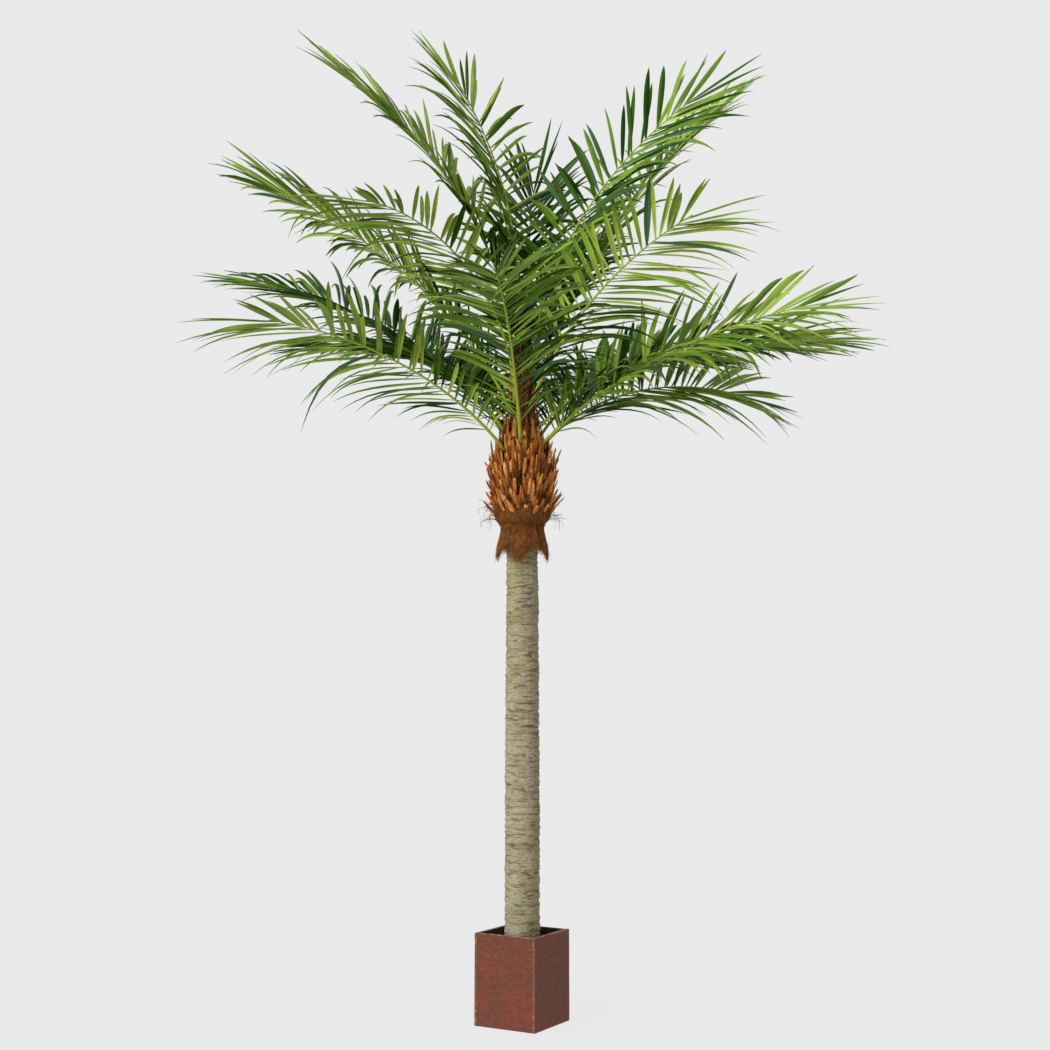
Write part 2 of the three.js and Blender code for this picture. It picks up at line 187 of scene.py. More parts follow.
# Strands laid over the collar: the upper ones run from among the leaf bases to the waist, the lower ones
# from about the waist to the hem
STRAND_COUNT, STRAND_UPPER_COUNT = 5000, 2000
STRAND_STATIONS = 6
STRAND_THICK_RANGE = (0.0005, 0.0015)
STRAND_END_THICK = 0.5
STRAND_OFF_PATH = np.array([0.31, 0.17, 0.93])
STRAND_LIFT_RANGE, STRAND_FLY, STRAND_FLY_POWER = (0, 0.0028), 0.003, 3
STRAND_DRIFT_POWER = 1.5
STRAND_TONE_ODDS = (0.46, 0.38, 0.16)
UPPER_TOP, UPPER_TOP_SPAN = 1.745, 0.13
UPPER_LENGTH_RANGE = (0.03, 0.08)
UPPER_DRIFT_SPREAD = 0.36
LOWER_TOP_RANGE = (1.650, COLLAR_WAIST + 0.008)
LOWER_HEM, LOWER_HEM_SPREAD = -0.002, 0.008
LOWER_DRIFT_SPREAD = 0.16
CLUMP_DRIFT, CLUMP_CELLS = 0.50, (9, 1)

# Stray hairs, some of them gathered at the collar's two sides as the photograph shows it
HAIR_COUNT, HAIR_LEFT_COUNT, HAIR_RIGHT_COUNT = 46, 14, 10
HAIR_SIDE_SPREAD = 0.3
HAIR_STATIONS = 8
HAIR_FOOT_RANGE = (1.742, 1.805)
HAIR_THROW_RANGE = (0.018, 0.062)
HAIR_THROW_ARC = 0.6
HAIR_RISE_RANGE = (-0.01, 0.035)
HAIR_FALL_RANGE, HAIR_FALL_POWER = (0.0, 0.070), 2.2
HAIR_DRIFT_SPREAD = 0.2
HAIR_THICK_RANGE = (0.0014, 0.0030)
HAIR_TONE_ODDS = (0.3, 0.5, 0.2)

# Ribs
RIB_BEND_POWER = 0.75
RIB_STATIONS, RIB_STATION_POWER = 36, 1.3
RIB_CORNERS = 8
RIB_SUM_STEPS = 200
RIB_FOOT_RADIUS = 0.0072
RIB_TIP_RADIUS = 0.0018
RIB_THIN_POWER = 0.62
RIB_FLATNESS = 0.86
RIB_ROOT = 0.03
RIB_BROWN_SHARE = 0.09

# Leaflets
LEAF_SPACING, LEAF_PLACE_SPREAD = 0.0200, 0.3
LEAF_START = 0.08
LEAF_END = 0.98
LEAF_LENGTH, LEAF_LENGTH_RANGE = 0.360, (0.84, 1.06)
LEAF_LENGTH_SHARES = ((0, 0.15, 0.35, 0.75, 1), (0.5, 0.8, 1, 1, 0.88))
LEAF_WIDTH, LEAF_WIDTH_RANGE = 0.0255, (0.55, 1.1)
LEAF_WIDTH_SHARES = ((0, 0.2, 0.85, 1), (0.5, 1, 1, 0.9))
LEAF_THICK, LEAF_LEAST_THICK = 0.0013, 0.3
LEAF_CREST, LEAF_KEEL = 0.7, 0.3
LEAF_FOLD_RANGE = (16, 46)
LEAF_FOOT_ANGLE = 58
LEAF_TIP_ANGLE = 13
LEAF_ANGLE_POWER = 4.2
LEAF_ANGLE_SPREAD = 4.4
LEAF_SWEEP = 0.16
LEAF_RISE_LOSS = 0.8
LEAF_RISE_SPREAD = 7
LEAF_DROOP, LEAF_DROOP_RANGE = 0.25, (0.45, 1.6)
LEAF_DROOP_POWER = 3.6
LEAF_STIFFENING = 0.6
LEAF_LIMP_ODDS, LEAF_LIMP_DROOP = 0.06, 1.9
LEAF_CURL_SPREAD, LEAF_CURL_POWER = 0.05, 3
LEAF_TURN = 8
LEAF_TWIST_SPREAD, LEAF_TWIST_START = 14, 0.4
LEAF_STATIONS = np.array([0, 0.06, 0.16, 0.3, 0.45, 0.6, 0.74, 0.86, 0.95, 1])
LEAF_SLIM = np.array([0.3, 0.45, 0.8, 0.97, 1, 0.88, 0.63, 0.37, 0.16, 0.04])
LEAF_BLUNT = np.array([0.3, 0.42, 0.7, 0.9, 1, 1, 0.88, 0.62, 0.3, 0.04])
LEAF_BLUNTNESS = 0.4
LEAF_TIP_ODDS = 0.75
TRIM_CYCLE = 3
# Painted shade: within this share of the rib from its foot, leaflets are dealt the inner, darker greens, less
# so on fronds of the lower ring
INNER_SHADE_SHARE, INNER_SHADE_GAIN = 0.44, 1.5
UPPER_RING, LOWER_RING_SHADE = 2.1, 0.45
HEAD_ROOM, HEAD_ROOM_START = 0.03, 0.2

# Fronds from the lowest ring up, then two half-hidden ones: heading of the rib from +X towards +Y, height of
# its foot, slope at the foot, slope lost by the tip, turn of the blade about the rib, rise of the leaflets
# off the blade, length of the rib, length of the raised side's leaflets as a share of the other side's, width
# of the lowered side's leaflets as a share of the other side's, and the tone of the leaflets
# The tone is partly the leaflets' own green and partly painted shade: fronds deep in the crown and at its
# back get darker tones
Frond = namedtuple("Frond", "heading foot lift drop roll rise length trim slim tone")
FRONDS = [
    Frond(246, 2.000, 46, 46, -20, 10, 1.000, 0.75, 0.68, "bright"),
    Frond(2, 2.015, 43, 38, -48, 28, 1.070, 0.80, 0.80, "even"),
    Frond(54, 2.020, 52, 61, -45, 32, 0.920, 1.00, 1.00, "light"),
    Frond(125, 2.000, 58, 52, 0, 26, 1.050, 1.00, 1.00, "dark"),
    Frond(158, 2.020, 58, 48, 0, 26, 1.050, 1.00, 1.00, "dark"),
    Frond(37, 2.025, 53, 54, 0, 22, 1.130, 1.00, 1.00, "light"),
    Frond(296, 2.020, 49, 50, -8, 30, 1.030, 1.00, 1.00, "middle"),
    Frond(72, 2.040, 56, 54, -10, 26, 1.050, 1.00, 1.00, "dark"),
    Frond(198, 2.065, 58, 44, 24, 24, 1.160, 1.00, 1.00, "dark"),
    Frond(209, 2.155, 67, 41, -7, 16, 1.220, 1.00, 1.00, "light"),
    Frond(337, 2.155, 57, 49, 33, 20, 1.010, 0.75, 0.68, "bright"),
    Frond(260, 2.200, 91, 97, -13, 16, 1.010, 0.60, 0.80, "bright"),
    Frond(102, 2.160, 74, 44, 0, 26, 1.150, 1.00, 1.00, "dark"),
    Frond(48, 2.170, 77, 31, -15, 36, 1.360, 1.00, 1.00, "even"),
    Frond(100, 2.300, 96, 22, 0, 34, 0.720, 1.00, 1.00, "dark"),
    Frond(8, 2.255, 94, 64, -71, 27, 1.200, 0.85, 1.00, "mixed"),
    Frond(228, 2.300, 94, 59, 32, 23, 1.180, 1.00, 1.00, "bright"),
    Frond(195, 2.380, 101, 41, 32, 34, 1.100, 0.80, 1.00, "middle"),
    Frond(20, 2.075, 49, 54, -30, 28, 0.900, 1.00, 1.00, "middle"),
    Frond(178, 2.095, 54, 50, 10, 30, 0.950, 1.00, 1.00, "dark"),
]

# Studio, and the camera of the photograph
FLOOR_REACH = 60
FLOOR_GREY, FLOOR_GLOW = 0.05, 0.768
WORLD_GREY = 0.82
KEY_ENERGY, KEY_SPREAD = 3.4, 30
KEY_FROM = (-0.28, -0.93, 0.20)
VIEW_DISTANCE = 5.194
VIEW_HEIGHT = 1.1215
VIEW_PITCH = 6.67
VIEW_YAW = -0.104
VIEW_LENS = 50
VIEW_SENSOR = 36


# Small sums

def mix(low, high, share):
    """Straight line from low to high: low at share 0, high at share 1."""
    return low + (high - low) * share


def unit(vectors):
    """Vectors brought to length one along their last axis."""
    return vectors / np.linalg.norm(vectors, axis=-1, keepdims=True)


def square_to(path, vectors):
    """Vectors less their part along a path's unit vectors, brought to length one."""
    return unit(vectors - (vectors * path).sum(axis=-1, keepdims=True) * path)


def lattice_noise(u, v, cells, seed):
    """Random heights from -1 to 1 on a lattice of cells, with an S-shaped blend between its corners.

    u and v run from 0 to 1. u is a share of a turn, so the lattice closes on itself along it."""
    across, along = cells
    heights = np.random.default_rng(seed).uniform(-1, 1, (across, along + 1))
    x = np.asarray(u) * across
    y = np.clip(v, 0, 1) * along
    column = np.floor(x).astype(int)
    row = np.minimum(np.floor(y).astype(int), along - 1)
    ease_x = (x - column) ** 2 * (3 - 2 * (x - column))
    ease_y = (y - row) ** 2 * (3 - 2 * (y - row))
    here, ahead = column % across, (column + 1) % across
    low = mix(heights[here, row], heights[ahead, row], ease_x)
    high = mix(heights[here, row + 1], heights[ahead, row + 1], ease_x)
    return mix(low, high, ease_y)


def noise_peaks(u, v, cells, seed, gain, cut):
    """The high spots of a lattice noise: the noise times a gain, less a cut, held between 0 and 1."""
    return np.clip(gain * lattice_noise(u, v, cells, seed) - cut, 0, 1)


def head_radius(height):
    """Radius of the head's core, straight between the pairs of HEAD_PROFILE."""
    return np.interp(height, HEAD_PROFILE[:, 0], HEAD_PROFILE[:, 1])


def collar_radius(height):
    """Outer radius of the collar, straight between the pairs of COLLAR_PROFILE."""
    return np.interp(height, COLLAR_PROFILE[:, 0], COLLAR_PROFILE[:, 1])


def round_axis(radius, angle, height):
    """Points at a radius, an angle and a height round the trunk's axis."""
    height = np.broadcast_to(height, np.broadcast(radius, angle, height).shape)
    return np.stack([radius * np.cos(angle), radius * np.sin(angle), height], axis=-1)


def swept(name, rings, finishes, wall_finish=None, loop=False, values=None, uv=None, crease=35):
    """Closed skins joined into one mesh. rings has the shape skins, stations, corners, 3.

    Each skin is a profile of corners carried along its stations: quads join neighbouring rings, and a flat
    face closes each end or, with loop, the last ring joins the first. Corners turn anticlockwise about the
    path, so that faces point out. wall_finish picks a finish for each quad, values holds point attributes,
    uv holds the two coordinates of each point, and edges sharper than crease degrees stay sharp."""
    skins, stations, corners, _ = rings.shape
    index = np.arange(skins * stations * corners).reshape(skins, stations, corners)
    ahead = np.roll(index, -1, axis=2)
    last = stations if loop else stations - 1
    up, up_ahead = np.roll(index, -1, axis=1), np.roll(ahead, -1, axis=1)
    walls = np.stack([index, ahead, up_ahead, up], axis=-1)[:, :last].reshape(-1, 4)
    ends = np.zeros((0, corners), int) if loop else np.concatenate([index[:, 0, ::-1], index[:, -1]])
    mesh = bpy.data.meshes.new(name)
    mesh.from_pydata(rings.reshape(-1, 3).tolist(), [], walls.tolist() + ends.tolist())
    for finish in finishes:
        mesh.materials.append(finish)
    if wall_finish is not None:
        picked = np.broadcast_to(wall_finish, (skins, last, corners))
        chosen = np.concatenate([picked.ravel(), picked[:, 0, 0], picked[:, -1, 0]])
        mesh.polygons.foreach_set("material_index", chosen.astype(np.int32))
    for key, value in (values or {}).items():
        field = np.broadcast_to(value, rings.shape[:3]).astype(np.float32).ravel()
        mesh.attributes.new(key, "FLOAT", "POINT").data.foreach_set("value", field)
    if uv is not None:
        of_corner = np.zeros(len(mesh.loops), np.int32)
        mesh.loops.foreach_get("vertex_index", of_corner)
        flat = np.broadcast_to(uv, (*rings.shape[:3], 2)).reshape(-1, 2)
        mesh.uv_layers.new(name="UVMap").data.foreach_set("uv", flat[of_corner].astype(np.float32).ravel())
    mesh.shade_smooth()
    mesh.set_sharp_from_angle(angle=math.radians(crease))
    piece = bpy.data.objects.new(name, mesh)
    bpy.context.scene.collection.objects.link(piece)
    return piece


def add_piece(piece, slot, *nodes):
    """A piece of the palm: it rides with the palm's one body and stands for those nodes."""
    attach(piece, BODY)
    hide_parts(*nodes)


# Finishes

class Finish:
    """One material's node tree, with short calls for the nodes that the finishes share."""

    def __init__(self, name, roughness, specular):
        self.material = bpy.data.materials.new(name)
        self.material.use_nodes = True
        self.tree = self.material.node_tree
        self.shader = self.tree.nodes["Principled BSDF"]
        self.shader.inputs["Roughness"].default_value = roughness
        self.shader.inputs["Specular IOR Level"].default_value = specular

    def feed(self, entry, value):
        """Gives a node's input a plain value, or links it to a socket."""
        if isinstance(value, bpy.types.NodeSocket):
            self.tree.links.new(value, entry)
        else:
            entry.default_value = value

    def add(self, kind, inputs, **settings):
        """A new node with its inputs fed and its settings made."""
        node = self.tree.nodes.new(kind)
        for key, value in settings.items():
            setattr(node, key, value)
        for key, value in inputs.items():
            self.feed(node.inputs[key], value)
        return node

    def noise(self, scale=1, detail=3, stretch=(1, 1, 1), by="Object"):
        """Noise on the piece's own Object or UV coordinates, squeezed by stretch along each axis."""
        where = self.add("ShaderNodeTexCoord", {}).outputs[by]
        place = self.add("ShaderNodeMapping", {"Vector": where, "Scale": stretch}).outputs["Vector"]
        inputs = {"Vector": place, "Scale": scale, "Detail": detail}
        return self.add("ShaderNodeTexNoise", inputs).outputs["Fac"]

    def attribute(self, name):
        """A point attribute of the piece, as a plain value."""
        return self.add("ShaderNodeAttribute", {}, attribute_name=name).outputs["Fac"]

    def ramp(self, value, stops):
        """Colours along a value, from (place, colour) pairs in rising order."""
        node = self.add("ShaderNodeValToRGB", {"Fac": value})
        elements = node.color_ramp.elements
        elements.remove(elements[1])
        elements[0].position = stops[0][0]
        elements[0].color = (*stops[0][1], 1)
        for place, colour in stops[1:]:
            elements.new(place).color = (*colour, 1)
        return node.outputs["Color"]

    def blend(self, share, low, high, way="MIX"):
        """Mixes two colours by a share. A colour is a socket or three plain values."""
        node = self.add("ShaderNodeMix", {}, data_type="RGBA", blend_type=way)
        factor, first, second, result = node.inputs[0], node.inputs[6], node.inputs[7], node.outputs[2]
        self.feed(factor, share)
        for entry, colour in ((first, low), (second, high)):
            self.feed(entry, (*colour, 1) if isinstance(colour, tuple) else colour)
        return result

    def bump(self, height, strength, distance):
        """Fine relief from a height."""
        node = self.add("ShaderNodeBump", {"Height": height, "Strength": strength, "Distance": distance})
        self.feed(self.shader.inputs["Normal"], node.outputs["Normal"])

    def colour(self, socket):
        """The base colour, which completes the material."""
        self.feed(self.shader.inputs["Base Color"], socket)
        return self.material


def grey(value):
    """A grey as three equal parts."""
    return (value, value, value)


def shade(colour, share):
    """A colour made darker or lighter by a factor."""
    return tuple(share * part for part in colour)


def leaf_finish(name, colour, gloss):
    """Printed leaf cloth: one green, mottled softly, with fine veins along the leaflet."""
    finish = Finish(name, roughness=0.5, specular=gloss)
    mottle = finish.noise(scale=9)
    mottled = finish.ramp(mottle, [(0.3, shade(colour, 0.72)), (0.7, shade(colour, 1.22))])
    veins = finish.noise(detail=2, stretch=(5, 34, 1), by="UV")
    lined = finish.ramp(veins, [(0.3, grey(0.72)), (0.65, grey(1.1))])
    finish.bump(veins, strength=0.3, distance=0.0006)
    return finish.colour(finish.blend(1, mottled, lined, "MULTIPLY"))


def rib_finish():
    """Moulded rib: yellow-green, streaked along the frond, browner at its foot."""
    finish = Finish("rib_green", roughness=0.5, specular=0.08)
    streaks = finish.noise(stretch=(7, 60, 1), by="UV")
    green = finish.ramp(streaks, [(0.3, (0.17, 0.23, 0.018)), (0.7, (0.31, 0.36, 0.035))])
    finish.bump(streaks, strength=0.25, distance=0.0008)
    brown = (0.26, 0.17, 0.04)
    return finish.colour(finish.blend(finish.attribute("foot"), green, brown))


def boot_finish(name, colour):
    """Dry cut leaf base: one brown with dark and pale fibres along it."""
    finish = Finish(name, roughness=0.85, specular=0.04)
    fibres = finish.noise(detail=5, stretch=(420, 420, 46))
    patches = finish.noise(scale=34, detail=2)
    brown = finish.ramp(fibres, [(0.28, shade(colour, 0.4)), (0.5, colour), (0.74, shade(colour, 1.5))])
    finish.bump(fibres, strength=0.7, distance=0.0016)
    shaded = finish.ramp(patches, [(0.3, grey(0.65)), (0.7, grey(1.15))])
    return finish.colour(finish.blend(1, brown, shaded, "MULTIPLY"))


def fibre_finish(name, colour):
    """Palm fibre: one brown, with finer dark and pale threads running up and down."""
    finish = Finish(name, roughness=0.9, specular=0.04)
    threads = finish.noise(detail=5, stretch=(700, 700, 40))
    brown = finish.ramp(threads, [(0.3, shade(colour, 0.45)), (0.52, colour), (0.74, shade(colour, 1.6))])
    finish.bump(threads, strength=0.8, distance=0.0015)
    return finish.colour(brown)


def trunk_finish():
    """Wound trunk: beige fibre with olive and pinkish patches, fine level threads, and painted shade in the
    grooves.
    """
    finish = Finish("trunk_wrap", roughness=0.92, specular=0.12)
    patches = finish.noise(stretch=(13, 13, 22))
    tone = finish.ramp(patches, [
        (0.30, (0.205, 0.182, 0.088)), (0.45, (0.252, 0.220, 0.128)), (0.58, (0.292, 0.240, 0.170)),
        (0.72, (0.226, 0.204, 0.108)),
    ])
    threads = finish.noise(detail=4, stretch=(70, 70, 520))
    lined = finish.ramp(threads, [(0.3, grey(0.48)), (0.5, grey(1.0)), (0.72, grey(1.32))])
    threaded = finish.blend(1, tone, lined, "MULTIPLY")
    weather = finish.ramp(finish.noise(scale=6, detail=2), [(0.5, grey(0)), (0.75, grey(0.4))])
    olive = (0.155, 0.155, 0.090)
    weathered = finish.blend(weather, threaded, olive)
    dashes = finish.noise(stretch=(17, 17, 170))
    stain = finish.ramp(dashes, [(0.56, grey(0)), (0.67, grey(0.75))])
    brown = (0.085, 0.070, 0.042)
    stained = finish.blend(stain, weathered, brown)
    finish.bump(threads, strength=0.8, distance=0.0018)
    # Painted shade: the grooves and cracks are darkened towards this dark colour by their depth
    groove_shade = finish.ramp(finish.attribute("groove"), [(0.28, grey(0)), (0.72, grey(0.92))])
    dark = (0.072, 0.058, 0.037)
    return finish.colour(finish.blend(groove_shade, stained, dark))


def paint_finish(name, dull, middle, red):
    """Worn paint: blotches of three tones, fine level brush marks, and pale wood where the edges are rubbed.

    The boards' inner faces are painted dark, as painted shade inside the box."""
    finish = Finish(name, roughness=0.65, specular=0.12)
    paint = finish.ramp(finish.noise(scale=9), [(0.32, dull), (0.5, middle), (0.68, red)])
    brush = finish.noise(detail=4, stretch=(60, 60, 90))
    marks = finish.ramp(brush, [(0.3, grey(0.80)), (0.7, grey(1.18))])
    brushed = finish.blend(1, paint, marks, "MULTIPLY")
    finish.bump(brush, strength=0.25, distance=0.0008)
    # Painted shade inside the box, laid on the boards' inner faces
    inside_shade, worn = (0.048, 0.021, 0.014), (0.40, 0.23, 0.165)
    lined = finish.blend(finish.attribute("inside"), brushed, inside_shade)
    rubbed = finish.ramp(finish.attribute("wear"), [(0.45, grey(0)), (0.9, grey(0.8))])
    return finish.colour(finish.blend(rubbed, lined, worn))


def fill_finish():
    """Dark set ballast with paler grit."""
    finish = Finish("ballast_grit", roughness=0.95, specular=0.1)
    grit = finish.noise(scale=160, detail=5)
    finish.bump(grit, strength=0.9, distance=0.003)
    return finish.colour(finish.ramp(grit, [(0.35, (0.02, 0.016, 0.012)), (0.7, (0.10, 0.085, 0.07))]))


def nail_finish():
    """Filled nail heads, pale and a little stained."""
    finish = Finish("nail_filler", roughness=0.7, specular=0.25)
    stains = finish.noise(scale=300)
    return finish.colour(finish.ramp(stains, [(0.35, (0.24, 0.10, 0.06)), (0.65, (0.50, 0.33, 0.25))]))


# Greens of the leaflets, with their gloss, and the share of each but the last in every tone of frond
GREENS = [leaf_finish(f"leaf_{name}", colour, gloss) for name, colour, gloss in (
    ("lime", (0.276, 0.363, 0.042), 0.24),
    ("light", (0.183, 0.289, 0.027), 0.20),
    ("middle", (0.094, 0.185, 0.012), 0.12),
    ("deep", (0.036, 0.088, 0.006), 0.03),
    ("dark", (0.013, 0.044, 0.006), 0.0),
    ("slate_sheen", (0.048, 0.102, 0.036), 0.10),
    ("tip", (0.105, 0.112, 0.070), 0.05),
)]
TIP_GREEN = len(GREENS) - 1
# Deep and dark serve as painted shade as well as the leaflets' own green, slate is a grey-blue green standing
# for a painted sheen, and the inner tone, mostly deep and dark, is painted shade near the crown's centre
TONE_SHARES = {
    "bright": (0.46, 0.32, 0.16, 0.03, 0.0, 0.03),
    "light": (0.23, 0.42, 0.25, 0.06, 0.0, 0.04),
    "even": (0.06, 0.44, 0.40, 0.06, 0.0, 0.04),
    "middle": (0.08, 0.32, 0.35, 0.16, 0.02, 0.07),
    "mixed": (0.02, 0.16, 0.32, 0.24, 0.14, 0.12),
    "dark": (0.0, 0.10, 0.30, 0.30, 0.18, 0.12),
    "inner": (0.0, 0.03, 0.17, 0.38, 0.36, 0.06),
}
RIB_GREEN = rib_finish()
# Browns of the leaf bases; the last, shadow, is painted shade for the head's core, the leaf bases' feet and
# the topmost ones
BOOT_BROWNS = [boot_finish(f"boot_{name}", colour) for name, colour in (
    ("rust", (0.310, 0.092, 0.017)),
    ("brown", (0.150, 0.043, 0.010)),
    ("tan", (0.440, 0.185, 0.045)),
    ("cut", (0.520, 0.285, 0.100)),
    ("shadow", (0.035, 0.010, 0.003)),
)]
FIBRE_BROWNS = [fibre_finish(f"fibre_{name}", colour) for name, colour in (
    ("rust", (0.290, 0.098, 0.022)),
    ("brown", (0.115, 0.039, 0.010)),
    ("straw", (0.360, 0.195, 0.075)),
)]


# Box and ballast

def rounded_outline(half_long, half_thick, corner):
    """Outlines of rectangles with round corners, anticlockwise, one for each value of half_long.

    Each corner is a quarter circle, BOARD_COLUMNS points divide each long side and two each short one."""
    turns = np.linspace(0, QUARTER, BOARD_CORNER_POINTS)
    signs = ((1, 1), (-1, 1), (-1, -1), (1, -1))
    arcs = [np.stack([
        x * (half_long - corner)[:, None] + corner[:, None] * np.cos(turns + k * QUARTER),
        y * (half_thick - corner)[:, None] + corner[:, None] * np.sin(turns + k * QUARTER),
    ], axis=-1) for k, (x, y) in enumerate(signs)]
    stretches = []
    for k, arc in enumerate(arcs):
        points = BOARD_COLUMNS if k % 2 == 0 else 2
        shares = np.linspace(0, 1, points + 2)[1:-1, None]
        following = arcs[(k + 1) % 4]
        stretches += [arc, mix(arc[:, -1:], following[:, :1], shares)]
    return np.concatenate(stretches, axis=1)


def box_board(name, paint, centre, half_long, half_thick, low, high, seed, turned=False):
    """A board: a round-cornered outline carried up from low to high and drawn in at both ends.

    The drawing-in follows a quarter circle, so that all edges are rounded. The faces are warped a little by
    noise, and chips bite into the edges. wear falls off exponentially from the edges, is uneven by noise and
    is high in chips and scuffs. A turned board runs along Y instead of X."""
    ease = np.linspace(0, QUARTER, BOARD_EDGE_STEPS)
    inset = BOARD_EDGE * (1 - np.sin(ease))
    end = BOARD_EDGE * (1 - np.cos(ease))
    between = np.linspace(low + BOARD_EDGE, high - BOARD_EDGE, BOARD_ROWS)[1:-1]
    height = np.concatenate([low + end, between, (high - end)[::-1]])
    drawn = np.concatenate([inset, 0 * between, inset[::-1]])
    corner = np.maximum(BOARD_EDGE - drawn, BOARD_LEAST_CORNER)
    outline = rounded_outline(half_long - drawn, half_thick - drawn, corner)
    along, thick = outline[..., 0], outline[..., 1]
    z = np.broadcast_to(height[:, None], along.shape)
    u = (along / half_long + 1) / 4 + np.where(thick > 0, 0.5, 0)
    v = (z - low) / (high - low)
    rim = np.minimum(high - z, z - low)
    side = half_long - np.abs(along)
    edge = np.exp(-np.minimum(rim, side) / CHIP_REACH)
    chips = noise_peaks(u, v, CHIP_CELLS, seed, CHIP_GAIN, CHIP_CUT) * edge
    warp = BOARD_WARP * lattice_noise(u, v, BOARD_WARP_CELLS, seed + 1) - CHIP_DEPTH * chips
    thick = thick + np.sign(thick) * warp
    z = z + np.where(rim < BOARD_EDGE, np.sign(0.5 - v), 0) * CHIP_DEPTH * CHIP_RIM_SHARE * chips
    scuffs = noise_peaks(u, v, SCUFF_CELLS, seed + 2, SCUFF_GAIN, SCUFF_CUT)
    rubbed = (np.exp(-(high - z) / RIM_REACH) + SIDE_RUB * np.exp(-side / SIDE_REACH)
              + FOOT_RUB * np.exp(-(z - low) / FOOT_REACH))
    uneven = RUB_MEAN + RUB_SWING * lattice_noise(u, v, RUB_CELLS, seed + 3)
    wear = rubbed * uneven + CHIP_WEAR * chips + SCUFF_WEAR * scuffs
    x, y = (-thick, along) if turned else (along, thick)
    rings = np.stack([centre[0] + x, centre[1] + y, z], axis=-1)[None]
    off_axis = np.abs(rings[..., :2]).max(axis=-1)
    # inside marks the inner faces, which the finish paints dark as painted shade
    values = {"wear": np.clip(wear, 0, 1)[None], "inside": off_axis < BOX_HIGH[0] - BOARD_THICK / 2}
    piece = swept(name, rings, [paint], values=values, crease=50)
    add_piece(piece, "painted_box", "pot")


def box_boards():
    """Front and back boards between two full-depth side boards, and a floor inside all four."""
    half = BOX_HIGH[0]
    middle = half - BOARD_THICK / 2
    inside = half - BOARD_THICK - BOARD_GAP
    low, high = BOX_LOW[2], BOX_HIGH[2]
    thick = BOARD_THICK / 2
    red = paint_finish("box_red", (0.090, 0.031, 0.019), (0.104, 0.031, 0.018), (0.126, 0.030, 0.017))
    brown = paint_finish("box_brown", (0.112, 0.048, 0.031), (0.125, 0.049, 0.030), (0.146, 0.047, 0.027))
    box_board("box_front", red, (0, -middle), inside, thick, low, high, SEED + 10)
    box_board("box_back", red, (0, middle), inside, thick, low, high, SEED + 20)
    box_board("box_left", brown, (-middle, 0), half, thick, low, high, SEED + 30, turned=True)
    box_board("box_right", brown, (middle, 0), half, thick, low, high, SEED + 40, turned=True)
    box_board("box_floor", brown, (0, 0), inside, inside, low, low + BOARD_THICK, SEED + 50)


def box_nails():
    """Nail heads up the four joints: low domes, each a circle carried outwards as it shrinks."""
    half = BOX_HIGH[0]
    rng = np.random.default_rng(SEED + 60)
    across, facing, height = np.meshgrid((-1, 1), (-1, 1), NAIL_HEIGHTS, indexing="ij")
    across, facing, height = across.ravel(), facing.ravel()[:, None, None], height.ravel()
    count = len(height)
    x = across * (half - BOARD_THICK / 2) + rng.normal(0, NAIL_SIDE_SPREAD, count)
    z = height + rng.normal(0, NAIL_HEIGHT_SPREAD, count)
    radius = NAIL_RADIUS * NAIL_RADIUS_SHARES[:, None] * rng.uniform(*NAIL_SIZE_RANGE, (count, 1, 1))
    turn = np.linspace(0, TURN, NAIL_CORNERS, endpoint=False)
    rings = np.stack([
        x[:, None, None] - facing * radius * np.cos(turn),
        facing * (half + NAIL_STANDING[:, None]) + 0 * turn,
        z[:, None, None] + radius * np.sin(turn),
    ], axis=-1)
    add_piece(swept("box_nails", rings, [nail_finish()]), "painted_box", "pot")


def ballast():
    """Ballast: a ring whose section runs up the box's walls, in over a lumpy top and down by the trunk.

    Its rings pass from a square to a circle."""
    turn = np.linspace(0, TURN, FILL_CORNERS, endpoint=False)
    square = FILL_HIGH[0] / np.maximum(np.abs(np.cos(turn)), np.abs(np.sin(turn)))
    inner = TRUNK_FOOT_RADIUS + FILL_CLEARANCE
    share = np.concatenate([[0], np.linspace(0, 1, FILL_STEPS), [1]])[:, None]
    radius = mix(square[None], inner, share)
    lumps = lattice_noise(turn / TURN, share, FILL_LUMP_CELLS, SEED + 70)
    stones = lattice_noise(turn / TURN, share, FILL_STONE_CELLS, SEED + 71)
    height = FILL_HIGH[2] - FILL_LUMP * (1 + (lumps + FILL_STONE_SHARE * stones)) / 2
    height[[0, -1]] = FILL_LOW[2]
    rings = round_axis(radius, turn, height)[None]
    add_piece(swept("ballast_top", rings, [fill_finish()], loop=True, crease=60), "ballast", "pot_fill")


# Trunk

